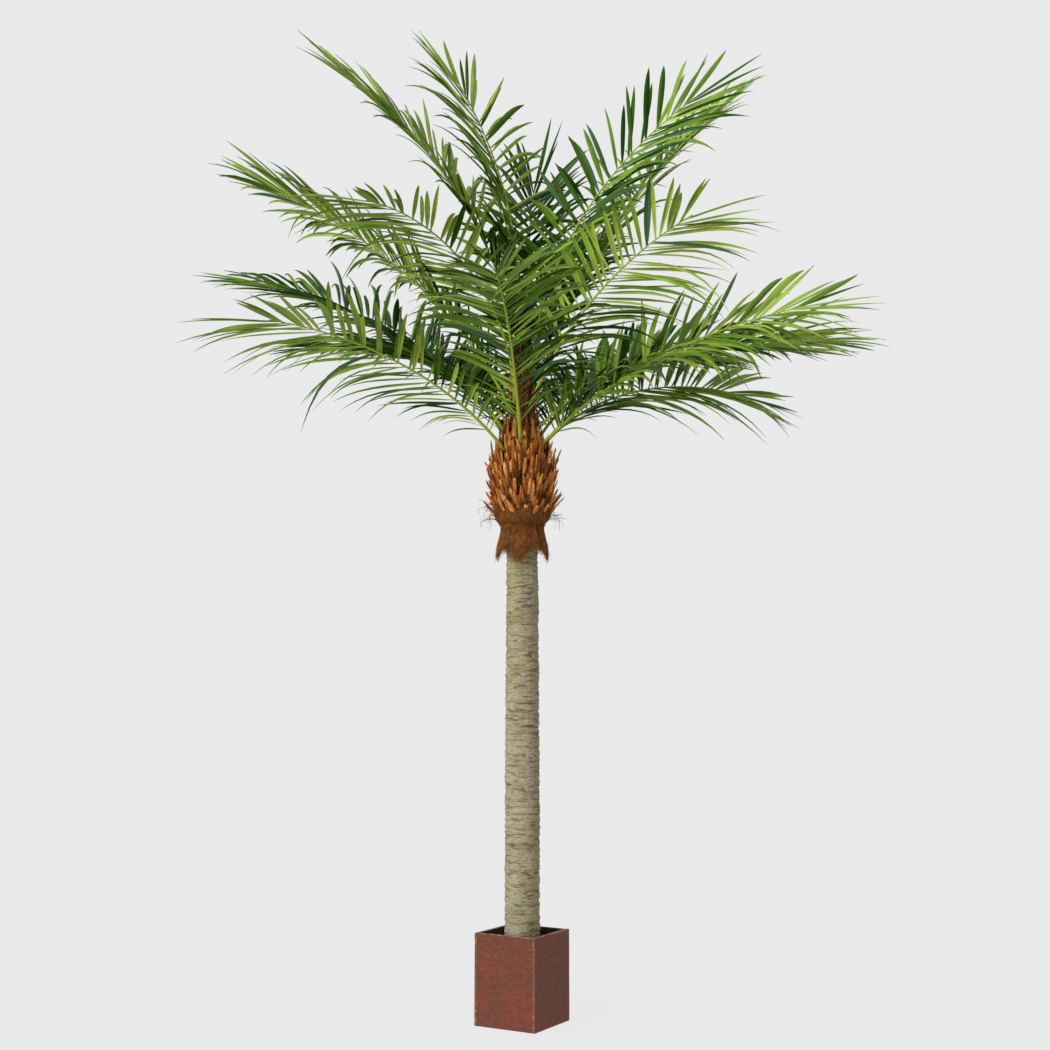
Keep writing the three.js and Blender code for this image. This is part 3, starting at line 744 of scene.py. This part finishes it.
def trunk():
    """Trunk: radius = straight taper - grooves between wound bands + lumps + fibres.

    The bands climb one pitch a turn. Their phase wanders with noise, a groove lies where the sine of the
    phase is near zero, and noise makes it deep in places and shallow in others. Short level cracks lie where
    a finer noise is high."""
    relief_low = FILL_HIGH[2] - TRUNK_BURIED
    buried = np.linspace(TRUNK_LOW[2], relief_low, TRUNK_BURIED_STATIONS)[:-1]
    shown = np.linspace(relief_low, TRUNK_HIGH[2], TRUNK_STATIONS)
    turn, z = np.meshgrid(np.arange(TRUNK_CORNERS) / TRUNK_CORNERS, np.concatenate([buried, shown]))
    v = z / TRUNK_HIGH[2]
    wander = (BAND_WANDER * lattice_noise(turn, v, BAND_WANDER_CELLS, SEED + 80)
              + BAND_WAVER * lattice_noise(turn, v, BAND_WAVER_CELLS, SEED + 81))
    bulge = np.abs(np.sin(math.pi * (z / BAND_PITCH + turn + wander))) ** BAND_ROUNDING
    depth = 0.5 + 0.5 * lattice_noise(turn, v, GROOVE_CELLS, SEED + 82)
    cracks = noise_peaks(turn, v, CRACK_CELLS, SEED + 85, CRACK_GAIN, CRACK_CUT)
    groove = np.maximum((1 - bulge) * mix(GROOVE_LEAST, 1, depth), CRACK_SHARE * cracks)
    lumps = lattice_noise(turn, v, BAND_LUMP_CELLS, SEED + 83)
    fibres = lattice_noise(turn, v, BAND_FIBRE_CELLS, SEED + 84)
    radius = np.interp(z, *TRUNK_PROFILE) - GROOVE_DEPTH * groove
    radius = radius + BAND_LUMP * lumps + BAND_FIBRE * fibres
    rings = round_axis(radius, TURN * turn, z)[None]
    piece = swept("trunk_wrap", rings, [trunk_finish()], values={"groove": groove[None]}, crease=80)
    add_piece(piece, "trunk_wrap", "trunk")


# Head and collar

def head_core():
    """Core of the head in painted shade between the leaf bases: the profile's radius less a little, roughened
    by noise, round the axis.
    """
    heights = np.linspace(HEAD_PROFILE[0, 0], HEAD_PROFILE[-1, 0], HEAD_STATIONS)
    turn, z = np.meshgrid(np.arange(HEAD_CORNERS) / HEAD_CORNERS, heights)
    v = (z - z[0, 0]) / (z[-1, 0] - z[0, 0])
    radius = head_radius(z) - HEAD_INSET + HEAD_ROUGHNESS * lattice_noise(turn, v, HEAD_CELLS, SEED + 90)
    rings = round_axis(radius, TURN * turn, z)[None]
    add_piece(swept("head_core", rings, [BOOT_BROWNS[SHADOW]]), "leaf_bases", "crown_head")


def clear_of_ribs(lines):
    """Whether all points of a line stand clear of every rib, over the stretch of the ribs near the head."""
    shares = np.linspace(0, RIB_NEAR_SHARE, RIB_NEAR_POINTS)
    gaps = [np.linalg.norm(lines[:, :, None] - rib_points(frond, shares), axis=-1) for frond in FRONDS]
    return np.min([gap.min(axis=(1, 2)) for gap in gaps], axis=0) > RIB_ROOM


def boots():
    """Cut leaf bases: slender five-cornered slats that lean out of the core and end in a ragged cut.

    They stand in rows up the head. Each follows a line whose lean grows along it, summed from its foot in
    even steps. Its section has a ridge down the outer side, a little off the middle, and shrinks to the end.
    The stretch near its foot is painted shade, shadow brown then brown, and the topmost ones, deep in the
    crown, are painted shade in shadow brown all over."""
    rng = np.random.default_rng(SEED + 100)
    rows = np.arange(BOOT_FIRST_ROW, BOOT_LAST_ROW, BOOT_ROW_RISE)
    counts = np.round(TURN * head_radius(rows) / BOOT_PITCH).astype(int)
    counts = np.maximum(BOOT_LEAST_COUNT, counts)
    angle = np.concatenate([TURN * (np.arange(n) + 0.5 * (k % 2)) / n for k, n in enumerate(counts)])
    foot = np.repeat(rows, counts)
    count = len(foot)
    angle = angle + rng.normal(0, BOOT_ANGLE_SPREAD, count)
    foot = foot + rng.normal(0, BOOT_RISE_SPREAD, count)
    spire = np.clip((foot - SPIRE_FOOT + SPIRE_BLEND / 2) / SPIRE_BLEND, 0, 1)
    length = mix(*BOOT_LENGTH, spire) * rng.uniform(*BOOT_LENGTH_RANGE, count)
    width = mix(*BOOT_WIDTH, spire) * rng.uniform(*BOOT_WIDTH_RANGE, count)
    thick = mix(*BOOT_THICK, spire) * rng.uniform(*BOOT_THICK_RANGE, count)
    spreading = head_radius(foot + BOOT_SLOPE_REACH) - head_radius(foot - BOOT_SLOPE_REACH)
    lean = np.arctan2(spreading, 2 * BOOT_SLOPE_REACH)
    lean = lean + np.radians(mix(*BOOT_LEAN, spire) + rng.normal(0, 1, count) * mix(*BOOT_LEAN_SPREAD, spire))
    curl = np.radians(BOOT_CURL * rng.uniform(*BOOT_CURL_RANGE, count))
    tilt = rng.normal(0, BOOT_TILT_SPREAD, count)
    steps = len(BOOT_TAPER) - 1
    step = np.linspace(0, 1, steps + 1)
    bend = lean[:, None] + curl[:, None] * step
    outward = np.stack([np.cos(angle), np.sin(angle), 0 * angle], axis=-1)[:, None]
    sideways = np.stack([-np.sin(angle), np.cos(angle), 0 * angle], axis=-1)[:, None]
    path = unit(np.cos(bend)[..., None] * UPWARD + np.sin(bend)[..., None] * outward
                + tilt[:, None, None] * sideways)
    travel = np.cumsum(path, axis=1) - path[:, :1]
    start = round_axis(head_radius(foot) - BOOT_SUNK, angle, foot)[:, None]
    line = start + travel * (length / steps)[:, None, None]
    across = square_to(path, sideways)
    inward = np.cross(path, across)
    ridge = rng.uniform(-BOOT_RIDGE, BOOT_RIDGE, count)
    wide = np.stack(np.broadcast_arrays(*BOOT_SECTION_WIDE, ridge), axis=-1)
    half_width = (width[:, None] * BOOT_TAPER / 2)[..., None] * wide[:, None]
    half_thick = (thick[:, None] * mix(1, BOOT_END_THICK, step) / 2)[..., None] * BOOT_SECTION_DEEP
    rings = (line[:, :, None] + across[:, :, None] * half_width[..., None]
             + inward[:, :, None] * half_thick[..., None])
    slanted = rng.normal(0, BOOT_SLANT_SPREAD, (count, 1)) * wide
    ragged = slanted + rng.normal(0, BOOT_RAG_SPREAD, wide.shape)
    rings[:, -1] += path[:, -1:] * ragged[..., None]
    rings[:, -2] += path[:, -2:-1] * (BOOT_RAG_NEXT * ragged)[..., None]
    tone = rng.choice([RUST, BROWN, TAN], count, p=BOOT_TONE_ODDS)
    tone = np.where((spire > 0.5) & (rng.uniform(size=count) < BOOT_BROWN_ODDS), BROWN, tone)
    walls = np.broadcast_to(tone[:, None, None], (count, steps, wide.shape[1])).copy()
    tan_side = rng.uniform(size=(count, 1)) < BOOT_TAN_SIDE_ODDS * (1 - spire)[:, None]
    walls[:, :, BOOT_TAN_SIDE] = np.where(tan_side, TAN, walls[:, :, BOOT_TAN_SIDE])
    walls[:, -1] = np.where(rng.uniform(size=(count, 1)) < BOOT_CUT_ODDS, CUT, walls[:, -1])
    # Painted shade: the lowest step shadow brown, the next one brown, and the topmost leaf bases shadow brown
    # all over
    walls[:, 0] = SHADOW
    walls[:, 1] = BROWN
    walls[foot > BOOT_SHADE_ROW] = SHADOW
    keep = clear_of_ribs(line[:, 1:])
    piece = swept("head_boots", rings[keep], BOOT_BROWNS, walls[keep], crease=30)
    add_piece(piece, "leaf_bases", "crown_head")


def strand_tubes(name, lines, thick, finish_of, slot="fibre", node="fibre_collar"):
    """Strands: three-cornered tubes along lines of points, thinning to a share at the far end."""
    path = unit(np.gradient(lines, axis=1))
    side = unit(np.cross(path, STRAND_OFF_PATH))
    normal = np.cross(path, side)
    turn = np.linspace(0, TURN, 3, endpoint=False)[:, None]
    radius = (thick[:, None] * np.linspace(1, STRAND_END_THICK, lines.shape[1]) / 2)[..., None, None]
    rings = lines[:, :, None] + radius * (side[:, :, None] * np.cos(turn) + normal[:, :, None] * np.sin(turn))
    piece = swept(name, rings, FIBRE_BROWNS, finish_of[:, None, None], crease=180)
    add_piece(piece, slot, node)


def head_fibres():
    """Loose fibres among the leaf bases: each climbs the head, leans off it and drifts to one side."""
    rng = np.random.default_rng(SEED + 105)
    angle = rng.uniform(0, TURN, FIBRE_COUNT)
    foot = FIBRE_FOOT + FIBRE_SPAN * rng.uniform(size=FIBRE_COUNT) ** FIBRE_SPAN_POWER
    climb = rng.uniform(*FIBRE_CLIMB_RANGE, FIBRE_COUNT)
    step = np.linspace(0, 1, FIBRE_STATIONS)
    height = foot[:, None] + climb[:, None] * step
    stand = rng.uniform(*FIBRE_STAND_RANGE, FIBRE_COUNT)[:, None]
    lean = rng.exponential(FIBRE_LEAN, FIBRE_COUNT)[:, None] * step ** 2
    drift = rng.normal(0, FIBRE_DRIFT_SPREAD, FIBRE_COUNT)[:, None] * step
    lines = round_axis(head_radius(height) + (stand + lean), angle[:, None] + drift, height)
    tone = rng.choice(len(FIBRE_BROWNS), FIBRE_COUNT, p=FIBRE_TONE_ODDS)
    thick = rng.uniform(*FIBRE_THICK_RANGE, FIBRE_COUNT)
    keep = clear_of_ribs(lines)
    strand_tubes("head_fibres", lines[keep], thick[keep], tone[keep], "leaf_bases", "crown_head")


def hem_height(angle):
    """Height of the collar's ragged hem: it climbs to the back by a cosine, less bell-shaped drops.

    There is a point to the front and back, and a long tuft at each side."""
    off = np.angle(np.exp(1j * (angle - VIEW_ANGLE)))

    def peak(centre, width):
        """A bell round one angle: e to the power of minus the squared distance over the width."""
        return np.exp(-(np.angle(np.exp(1j * (off - centre))) / width) ** 2)

    points = peak(0, HEM_POINT_WIDTH) + peak(math.pi, HEM_POINT_WIDTH)
    tufts = peak(HEM_TUFT_ANGLE, HEM_TUFT_WIDTH) + peak(-HEM_TUFT_ANGLE, HEM_TUFT_WIDTH)
    return HEM_HEIGHT + HEM_BACK_RISE * (1 - np.cos(off)) - HEM_POINT * points - HEM_TUFT * tufts


def collar_mat():
    """Collar's mat: a ring whose section runs up the outer side and down the inner one.

    Noise ridges it upright. Its hem hangs free of the trunk as a thin skirt in the lower third, and above
    that the inner side closes in on the trunk."""
    turn = np.arange(COLLAR_CORNERS) / COLLAR_CORNERS
    angle = TURN * turn
    share = np.linspace(0, 1, COLLAR_STATIONS)[:, None]
    frayed = COLLAR_FRAY + COLLAR_FRAY_SWING * lattice_noise(turn, 0.5, COLLAR_FRAY_CELLS, SEED + 112)
    height = mix((hem_height(angle) + frayed)[None], COLLAR_PROFILE[-1, 0], share)
    ridges = lattice_noise(turn[None], share, COLLAR_RIDGE_CELLS, SEED + 110)
    folds = lattice_noise(turn[None], share, COLLAR_FOLD_CELLS, SEED + 111)
    outer = collar_radius(height) - COLLAR_INSET + COLLAR_RIDGE * (ridges + COLLAR_FOLD_SHARE * folds)
    inner = mix(outer - COLLAR_SKIRT_THICK, COLLAR_INNER, np.clip(3 * share - 1, 0, 1))
    rings = np.concatenate([round_axis(outer, angle, height), round_axis(inner, angle, height)[::-1]])[None]
    piece = swept("collar_mat", rings, FIBRE_BROWNS[:1], loop=True, crease=70)
    add_piece(piece, "fibre", "fibre_collar")


def collar_strands():
    """Strands over the collar: each runs down its outer side, drifts round it and lifts off at its end."""
    rng = np.random.default_rng(SEED + 120)
    count = STRAND_COUNT
    angle = rng.uniform(0, TURN, count)
    upper = np.arange(count) < STRAND_UPPER_COUNT
    upper_top = UPPER_TOP + UPPER_TOP_SPAN * rng.uniform(size=count) ** 2
    top = np.where(upper, upper_top, rng.uniform(*LOWER_TOP_RANGE, count))
    hem = hem_height(angle) + rng.normal(LOWER_HEM, LOWER_HEM_SPREAD, count)
    upper_end = np.maximum(top - rng.uniform(*UPPER_LENGTH_RANGE, count), COLLAR_WAIST)
    bottom = np.where(upper, upper_end, hem)
    clump = CLUMP_DRIFT * lattice_noise(angle / TURN, 0.5, CLUMP_CELLS, SEED + 121)
    upper_drift = rng.normal(0, UPPER_DRIFT_SPREAD, count)
    drift = np.where(upper, upper_drift, clump + rng.normal(0, LOWER_DRIFT_SPREAD, count))[:, None]
    step = np.linspace(0, 1, STRAND_STATIONS)
    height = mix(top[:, None], bottom[:, None], step)
    lift = rng.uniform(*STRAND_LIFT_RANGE, count)[:, None]
    fly = rng.exponential(STRAND_FLY, count)[:, None] * step ** STRAND_FLY_POWER
    radius = collar_radius(height) + (lift + fly)
    lines = round_axis(radius, angle[:, None] + drift * step ** STRAND_DRIFT_POWER, height)
    tone = rng.choice(len(FIBRE_BROWNS), count, p=STRAND_TONE_ODDS)
    strand_tubes("collar_strands", lines, rng.uniform(*STRAND_THICK_RANGE, count), tone)


def stray_hairs():
    """Loose hairs that spring outwards under the head and fall over: a throw outwards less a growing drop."""
    rng = np.random.default_rng(SEED + 130)
    count, right = HAIR_COUNT, HAIR_LEFT_COUNT + HAIR_RIGHT_COUNT
    angle = rng.uniform(0, TURN, count)
    angle[:HAIR_LEFT_COUNT] = VIEW_ANGLE - QUARTER + rng.normal(0, HAIR_SIDE_SPREAD, HAIR_LEFT_COUNT)
    angle[HAIR_LEFT_COUNT:right] = VIEW_ANGLE + QUARTER + rng.normal(0, HAIR_SIDE_SPREAD, HAIR_RIGHT_COUNT)
    foot = rng.uniform(*HAIR_FOOT_RANGE, count)
    throw = rng.uniform(*HAIR_THROW_RANGE, count)[:, None]
    rise = rng.uniform(*HAIR_RISE_RANGE, count)[:, None]
    fall = rng.uniform(*HAIR_FALL_RANGE, count)[:, None]
    step = np.linspace(0, 1, HAIR_STATIONS)
    radius = collar_radius(foot)[:, None] + throw * np.sin(step * math.pi * HAIR_THROW_ARC)
    height = foot[:, None] + rise * step - fall * step ** HAIR_FALL_POWER
    drift = rng.normal(0, HAIR_DRIFT_SPREAD, count)[:, None] * step
    lines = round_axis(radius, angle[:, None] + drift, height)
    thick = rng.uniform(*HAIR_THICK_RANGE, count)
    tone = rng.choice(len(FIBRE_BROWNS), count, p=HAIR_TONE_ODDS)
    strand_tubes("collar_hairs", lines, thick, tone)


# Fronds

def rib_frame(frond, s):
    """Tangent, right-hand side and upper face of a rib at shares s of its length.

    The slope is the lift less the drop times s to a power, and the roll turns side and face about the rib."""
    slope = np.radians(frond.lift - frond.drop * np.maximum(s, 0) ** RIB_BEND_POWER)[:, None]
    heading, roll = math.radians(frond.heading), math.radians(frond.roll)
    outward = np.array([math.cos(heading), math.sin(heading), 0])
    level = np.array([math.sin(heading), -math.cos(heading), 0])
    tangent = np.cos(slope) * outward + np.sin(slope) * UPWARD
    upper = np.cross(level, tangent)
    side = math.cos(roll) * level + math.sin(roll) * upper
    face = math.cos(roll) * upper - math.sin(roll) * level
    return tangent, side, face


def rib_points(frond, s):
    """Points of a rib at shares s: its tangent summed in even steps from its foot on the head's surface.

    Before the foot it runs straight back into the head."""
    marks = np.linspace(0, 1, RIB_SUM_STEPS + 1)
    tangent, _, _ = rib_frame(frond, (marks[:-1] + marks[1:]) / 2)
    travel = np.vstack([np.zeros(3), np.cumsum(tangent, axis=0)]) * frond.length / RIB_SUM_STEPS
    foot = round_axis(head_radius(frond.foot), math.radians(frond.heading), frond.foot)
    onward = np.stack([np.interp(s, marks, travel[:, k]) for k in range(3)], axis=-1)
    backward = np.minimum(s, 0)[:, None] * frond.length * rib_frame(frond, np.zeros(1))[0]
    return foot + onward + backward


def rib(name, frond, node):
    """Rib: a flattened circle carried along the rib's line, thinning by a power of the way along it.

    Near its foot it is brown over a short stretch."""
    s = mix(-RIB_ROOT, 1, np.linspace(0, 1, RIB_STATIONS) ** RIB_STATION_POWER)
    _, side, face = rib_frame(frond, s)
    turn = np.linspace(0, TURN, RIB_CORNERS, endpoint=False)
    thin = mix(RIB_FOOT_RADIUS, RIB_TIP_RADIUS, np.clip(s, 0, 1) ** RIB_THIN_POWER)[:, None, None]
    section = face[:, None] * np.cos(turn)[:, None] * RIB_FLATNESS + side[:, None] * np.sin(turn)[:, None]
    rings = rib_points(frond, s)[:, None] + thin * section
    uv = np.stack(np.broadcast_arrays(s[:, None], turn / TURN), axis=-1)
    foot = np.clip(1 - (s + RIB_ROOT) / RIB_BROWN_SHARE, 0, 1)[:, None]
    piece = swept(name, rings[None], [RIB_GREEN], values={"foot": foot[None]}, uv=uv[None], crease=60)
    add_piece(piece, "frond", node)


def leaflets(name, frond, node, seed):
    """Leaflets of a frond, in pairs from near its foot to its tip, all joined.

    A leaflet leaves the rib at an angle that closes towards the tip and rises off the blade's face. On a
    rolled blade those of the raised side stand off wider and are blunter, and those of the lowered side may
    be slimmer. Where the raised ones are trimmed, every third one is left out. The middle line runs straight
    and droops by a power of the way along it. The section is a roof of four corners: two edges, a crest and a
    keel under it. Greens are dealt out by the frond's tone, darker near the foot."""
    rng = np.random.default_rng(seed)
    pairs = round((LEAF_END - LEAF_START) * frond.length / LEAF_SPACING)
    share = np.repeat(np.linspace(0, 1, pairs), 2)
    hand = np.tile([-1.0, 1.0], pairs)
    count = len(share)
    share = np.clip(share + rng.normal(0, LEAF_PLACE_SPREAD / pairs, count), 0, 1)
    raised = hand * math.sin(math.radians(frond.roll))
    trimmed = (raised > 0) & (frond.trim < 1)

    # Middle lines
    tangent, side, face = rib_frame(frond, mix(LEAF_START, LEAF_END, share))
    root = rib_points(frond, mix(LEAF_START, LEAF_END, share))
    angle = (1 + LEAF_SWEEP * raised) * mix(LEAF_FOOT_ANGLE, LEAF_TIP_ANGLE, share ** LEAF_ANGLE_POWER)
    angle = np.radians(angle + rng.normal(0, LEAF_ANGLE_SPREAD, count))[:, None]
    rise = frond.rise * (1 - LEAF_RISE_LOSS * share) + rng.normal(0, LEAF_RISE_SPREAD, count)
    rise = np.radians(rise)[:, None]
    length = LEAF_LENGTH * np.interp(share, *LEAF_LENGTH_SHARES) * rng.uniform(*LEAF_LENGTH_RANGE, count)
    length = length * np.where(trimmed, frond.trim, 1)
    stiff = 1 - LEAF_STIFFENING * np.maximum(raised, 0)
    droop = LEAF_DROOP * np.sin(angle[:, 0]) * stiff * rng.uniform(*LEAF_DROOP_RANGE, count)
    droop = np.where(rng.uniform(size=count) < LEAF_LIMP_ODDS, LEAF_LIMP_DROOP * droop, droop)[:, None]
    direction = (np.cos(angle) * tangent + (hand[:, None] * np.sin(angle) * np.cos(rise)) * side
                 + np.sin(angle) * np.sin(rise) * face)
    w = LEAF_STATIONS
    drop = droop * w ** LEAF_DROOP_POWER
    fall = droop * LEAF_DROOP_POWER * w ** (LEAF_DROOP_POWER - 1)
    way = direction[:, None] * w[:, None] - drop[..., None] * UPWARD
    line = root[:, None] + length[:, None, None] * way
    curl = rng.normal(0, LEAF_CURL_SPREAD, count)[:, None] * w ** LEAF_CURL_POWER
    line = line + (length[:, None] * curl)[..., None] * tangent[:, None]

    # Sections
    path = unit(direction[:, None] - fall[..., None] * UPWARD)
    flat = hand[:, None, None] * square_to(path, tangent[:, None])
    over = np.cross(path, flat)
    twist = rng.normal(0, LEAF_TWIST_SPREAD, count)[:, None] * (LEAF_TWIST_START + w)
    twist = np.radians(twist - LEAF_TURN * hand[:, None])[..., None]
    across = np.cos(twist) * flat + np.sin(twist) * over
    upper = np.cos(twist) * over - np.sin(twist) * flat
    width = LEAF_WIDTH * rng.uniform(*LEAF_WIDTH_RANGE, count) * np.interp(share, *LEAF_WIDTH_SHARES)
    width = width * np.where(raised < 0, frond.slim, 1)
    outline = mix(LEAF_SLIM, LEAF_BLUNT, np.clip(LEAF_BLUNTNESS + raised, 0, 1)[:, None])
    half = (width[:, None] / 2 * outline)[..., None]
    fold = np.radians(rng.uniform(*LEAF_FOLD_RANGE, count))[:, None, None]
    thick = LEAF_THICK * np.clip(outline, LEAF_LEAST_THICK, 1)[..., None]
    edge_right = line + half * (np.cos(fold) * across - np.sin(fold) * upper)
    edge_left = line - half * (np.cos(fold) * across + np.sin(fold) * upper)
    crest = line + LEAF_CREST * thick * upper
    keel = line - LEAF_KEEL * thick * upper
    rings = np.stack([edge_right, crest, edge_left, keel], axis=2)

    # Leaflets that would cut into the head are left out, and so are those trimmed away
    reach = np.linalg.norm(line[..., :2], axis=-1) - head_radius(line[..., 2])
    below = line[..., 2] < HEAD_PROFILE[-1, 0]
    in_head = ((reach < HEAD_ROOM) & below & (w > HEAD_ROOM_START)).any(axis=1)
    cut_away = trimmed & (np.repeat(np.arange(pairs), 2) % TRIM_CYCLE == TRIM_CYCLE - 1)
    keep = ~in_head & ~cut_away

    # Greens, with painted shade: darker greens near the foot, towards the crown's centre
    shading = 1 if frond.foot > UPPER_RING else LOWER_RING_SHADE
    inner = shading * np.clip(INNER_SHADE_GAIN - INNER_SHADE_GAIN * share / INNER_SHADE_SHARE, 0, 1)[:, None]
    odds = mix(np.array(TONE_SHARES[frond.tone]), np.array(TONE_SHARES["inner"]), inner).cumsum(axis=1)
    tone = (rng.uniform(size=(count, 1)) > odds[:, :-1]).sum(axis=1)
    walls = np.repeat(tone[:, None], len(w) - 1, axis=1)
    walls[:, -1] = np.where(rng.uniform(size=count) < LEAF_TIP_ODDS, TIP_GREEN, tone)
    uv = np.stack(np.broadcast_arrays(w[:, None], np.array([1, 0.5, 0, 0.5])), axis=-1)[None]
    piece = swept(name, rings[keep], GREENS, walls[keep][..., None], uv=uv, crease=24)
    add_piece(piece, "frond", node)


def fronds():
    """A rib and its leaflets for each row of FRONDS."""
    for number, frond in enumerate(FRONDS, start=1):
        node = f"frond_{number:02d}"
        rib(f"{node}_rib", frond, node)
        leaflets(f"{node}_leaflets", frond, node, SEED + 200 + number)


# Studio

def studio_floor():
    """Wide pale floor: a square, mostly bright of itself so that shadows on it stay faint."""
    finish = Finish("studio_floor", roughness=0.9, specular=0.0)
    finish.shader.inputs["Base Color"].default_value = (*grey(FLOOR_GREY), 1)
    finish.shader.inputs["Emission Color"].default_value = (*grey(1), 1)
    finish.shader.inputs["Emission Strength"].default_value = FLOOR_GLOW
    mesh = bpy.data.meshes.new("studio_floor")
    corners = [(x * FLOOR_REACH, y * FLOOR_REACH, 0) for x, y in ((-1, -1), (1, -1), (1, 1), (-1, 1))]
    mesh.from_pydata(corners, [], [(0, 1, 2, 3)])
    mesh.materials.append(finish.material)
    floor = bpy.data.objects.new("studio_floor", mesh)
    bpy.context.scene.collection.objects.link(floor)


def studio_light():
    """Even light all round, and one broad soft key from the front left above."""
    world = bpy.data.worlds.new("studio")
    world.use_nodes = True
    world.node_tree.nodes["Background"].inputs["Color"].default_value = (*grey(WORLD_GREY), 1)
    bpy.context.scene.world = world
    key = bpy.data.lights.new("key", "SUN")
    key.energy = KEY_ENERGY
    key.angle = math.radians(KEY_SPREAD)
    lamp = bpy.data.objects.new("key", key)
    bpy.context.scene.collection.objects.link(lamp)
    lamp.rotation_mode = "QUATERNION"
    lamp.rotation_quaternion = Vector(KEY_FROM).to_track_quat("Z", "Y")


def photo_camera():
    """Camera at the photograph's distance, height and angle."""
    camera = bpy.data.objects.new("photo_camera", bpy.data.cameras.new("photo_camera"))
    camera.data.lens = VIEW_LENS
    camera.data.sensor_width = VIEW_SENSOR
    azimuth = math.radians(VIEW_AZIMUTH)
    camera.location = (VIEW_DISTANCE * math.sin(azimuth), -VIEW_DISTANCE * math.cos(azimuth), VIEW_HEIGHT)
    camera.rotation_euler = (math.radians(90 + VIEW_PITCH), 0, math.radians(VIEW_AZIMUTH + VIEW_YAW))
    bpy.context.scene.collection.objects.link(camera)
    bpy.context.scene.camera = camera


photo_camera()
box_boards()
box_nails()
ballast()
trunk()
head_core()
boots()
head_fibres()
collar_mat()
collar_strands()
stray_hairs()
fronds()
studio_floor()
studio_light()
bpy.context.scene.view_settings.view_transform = "Standard"
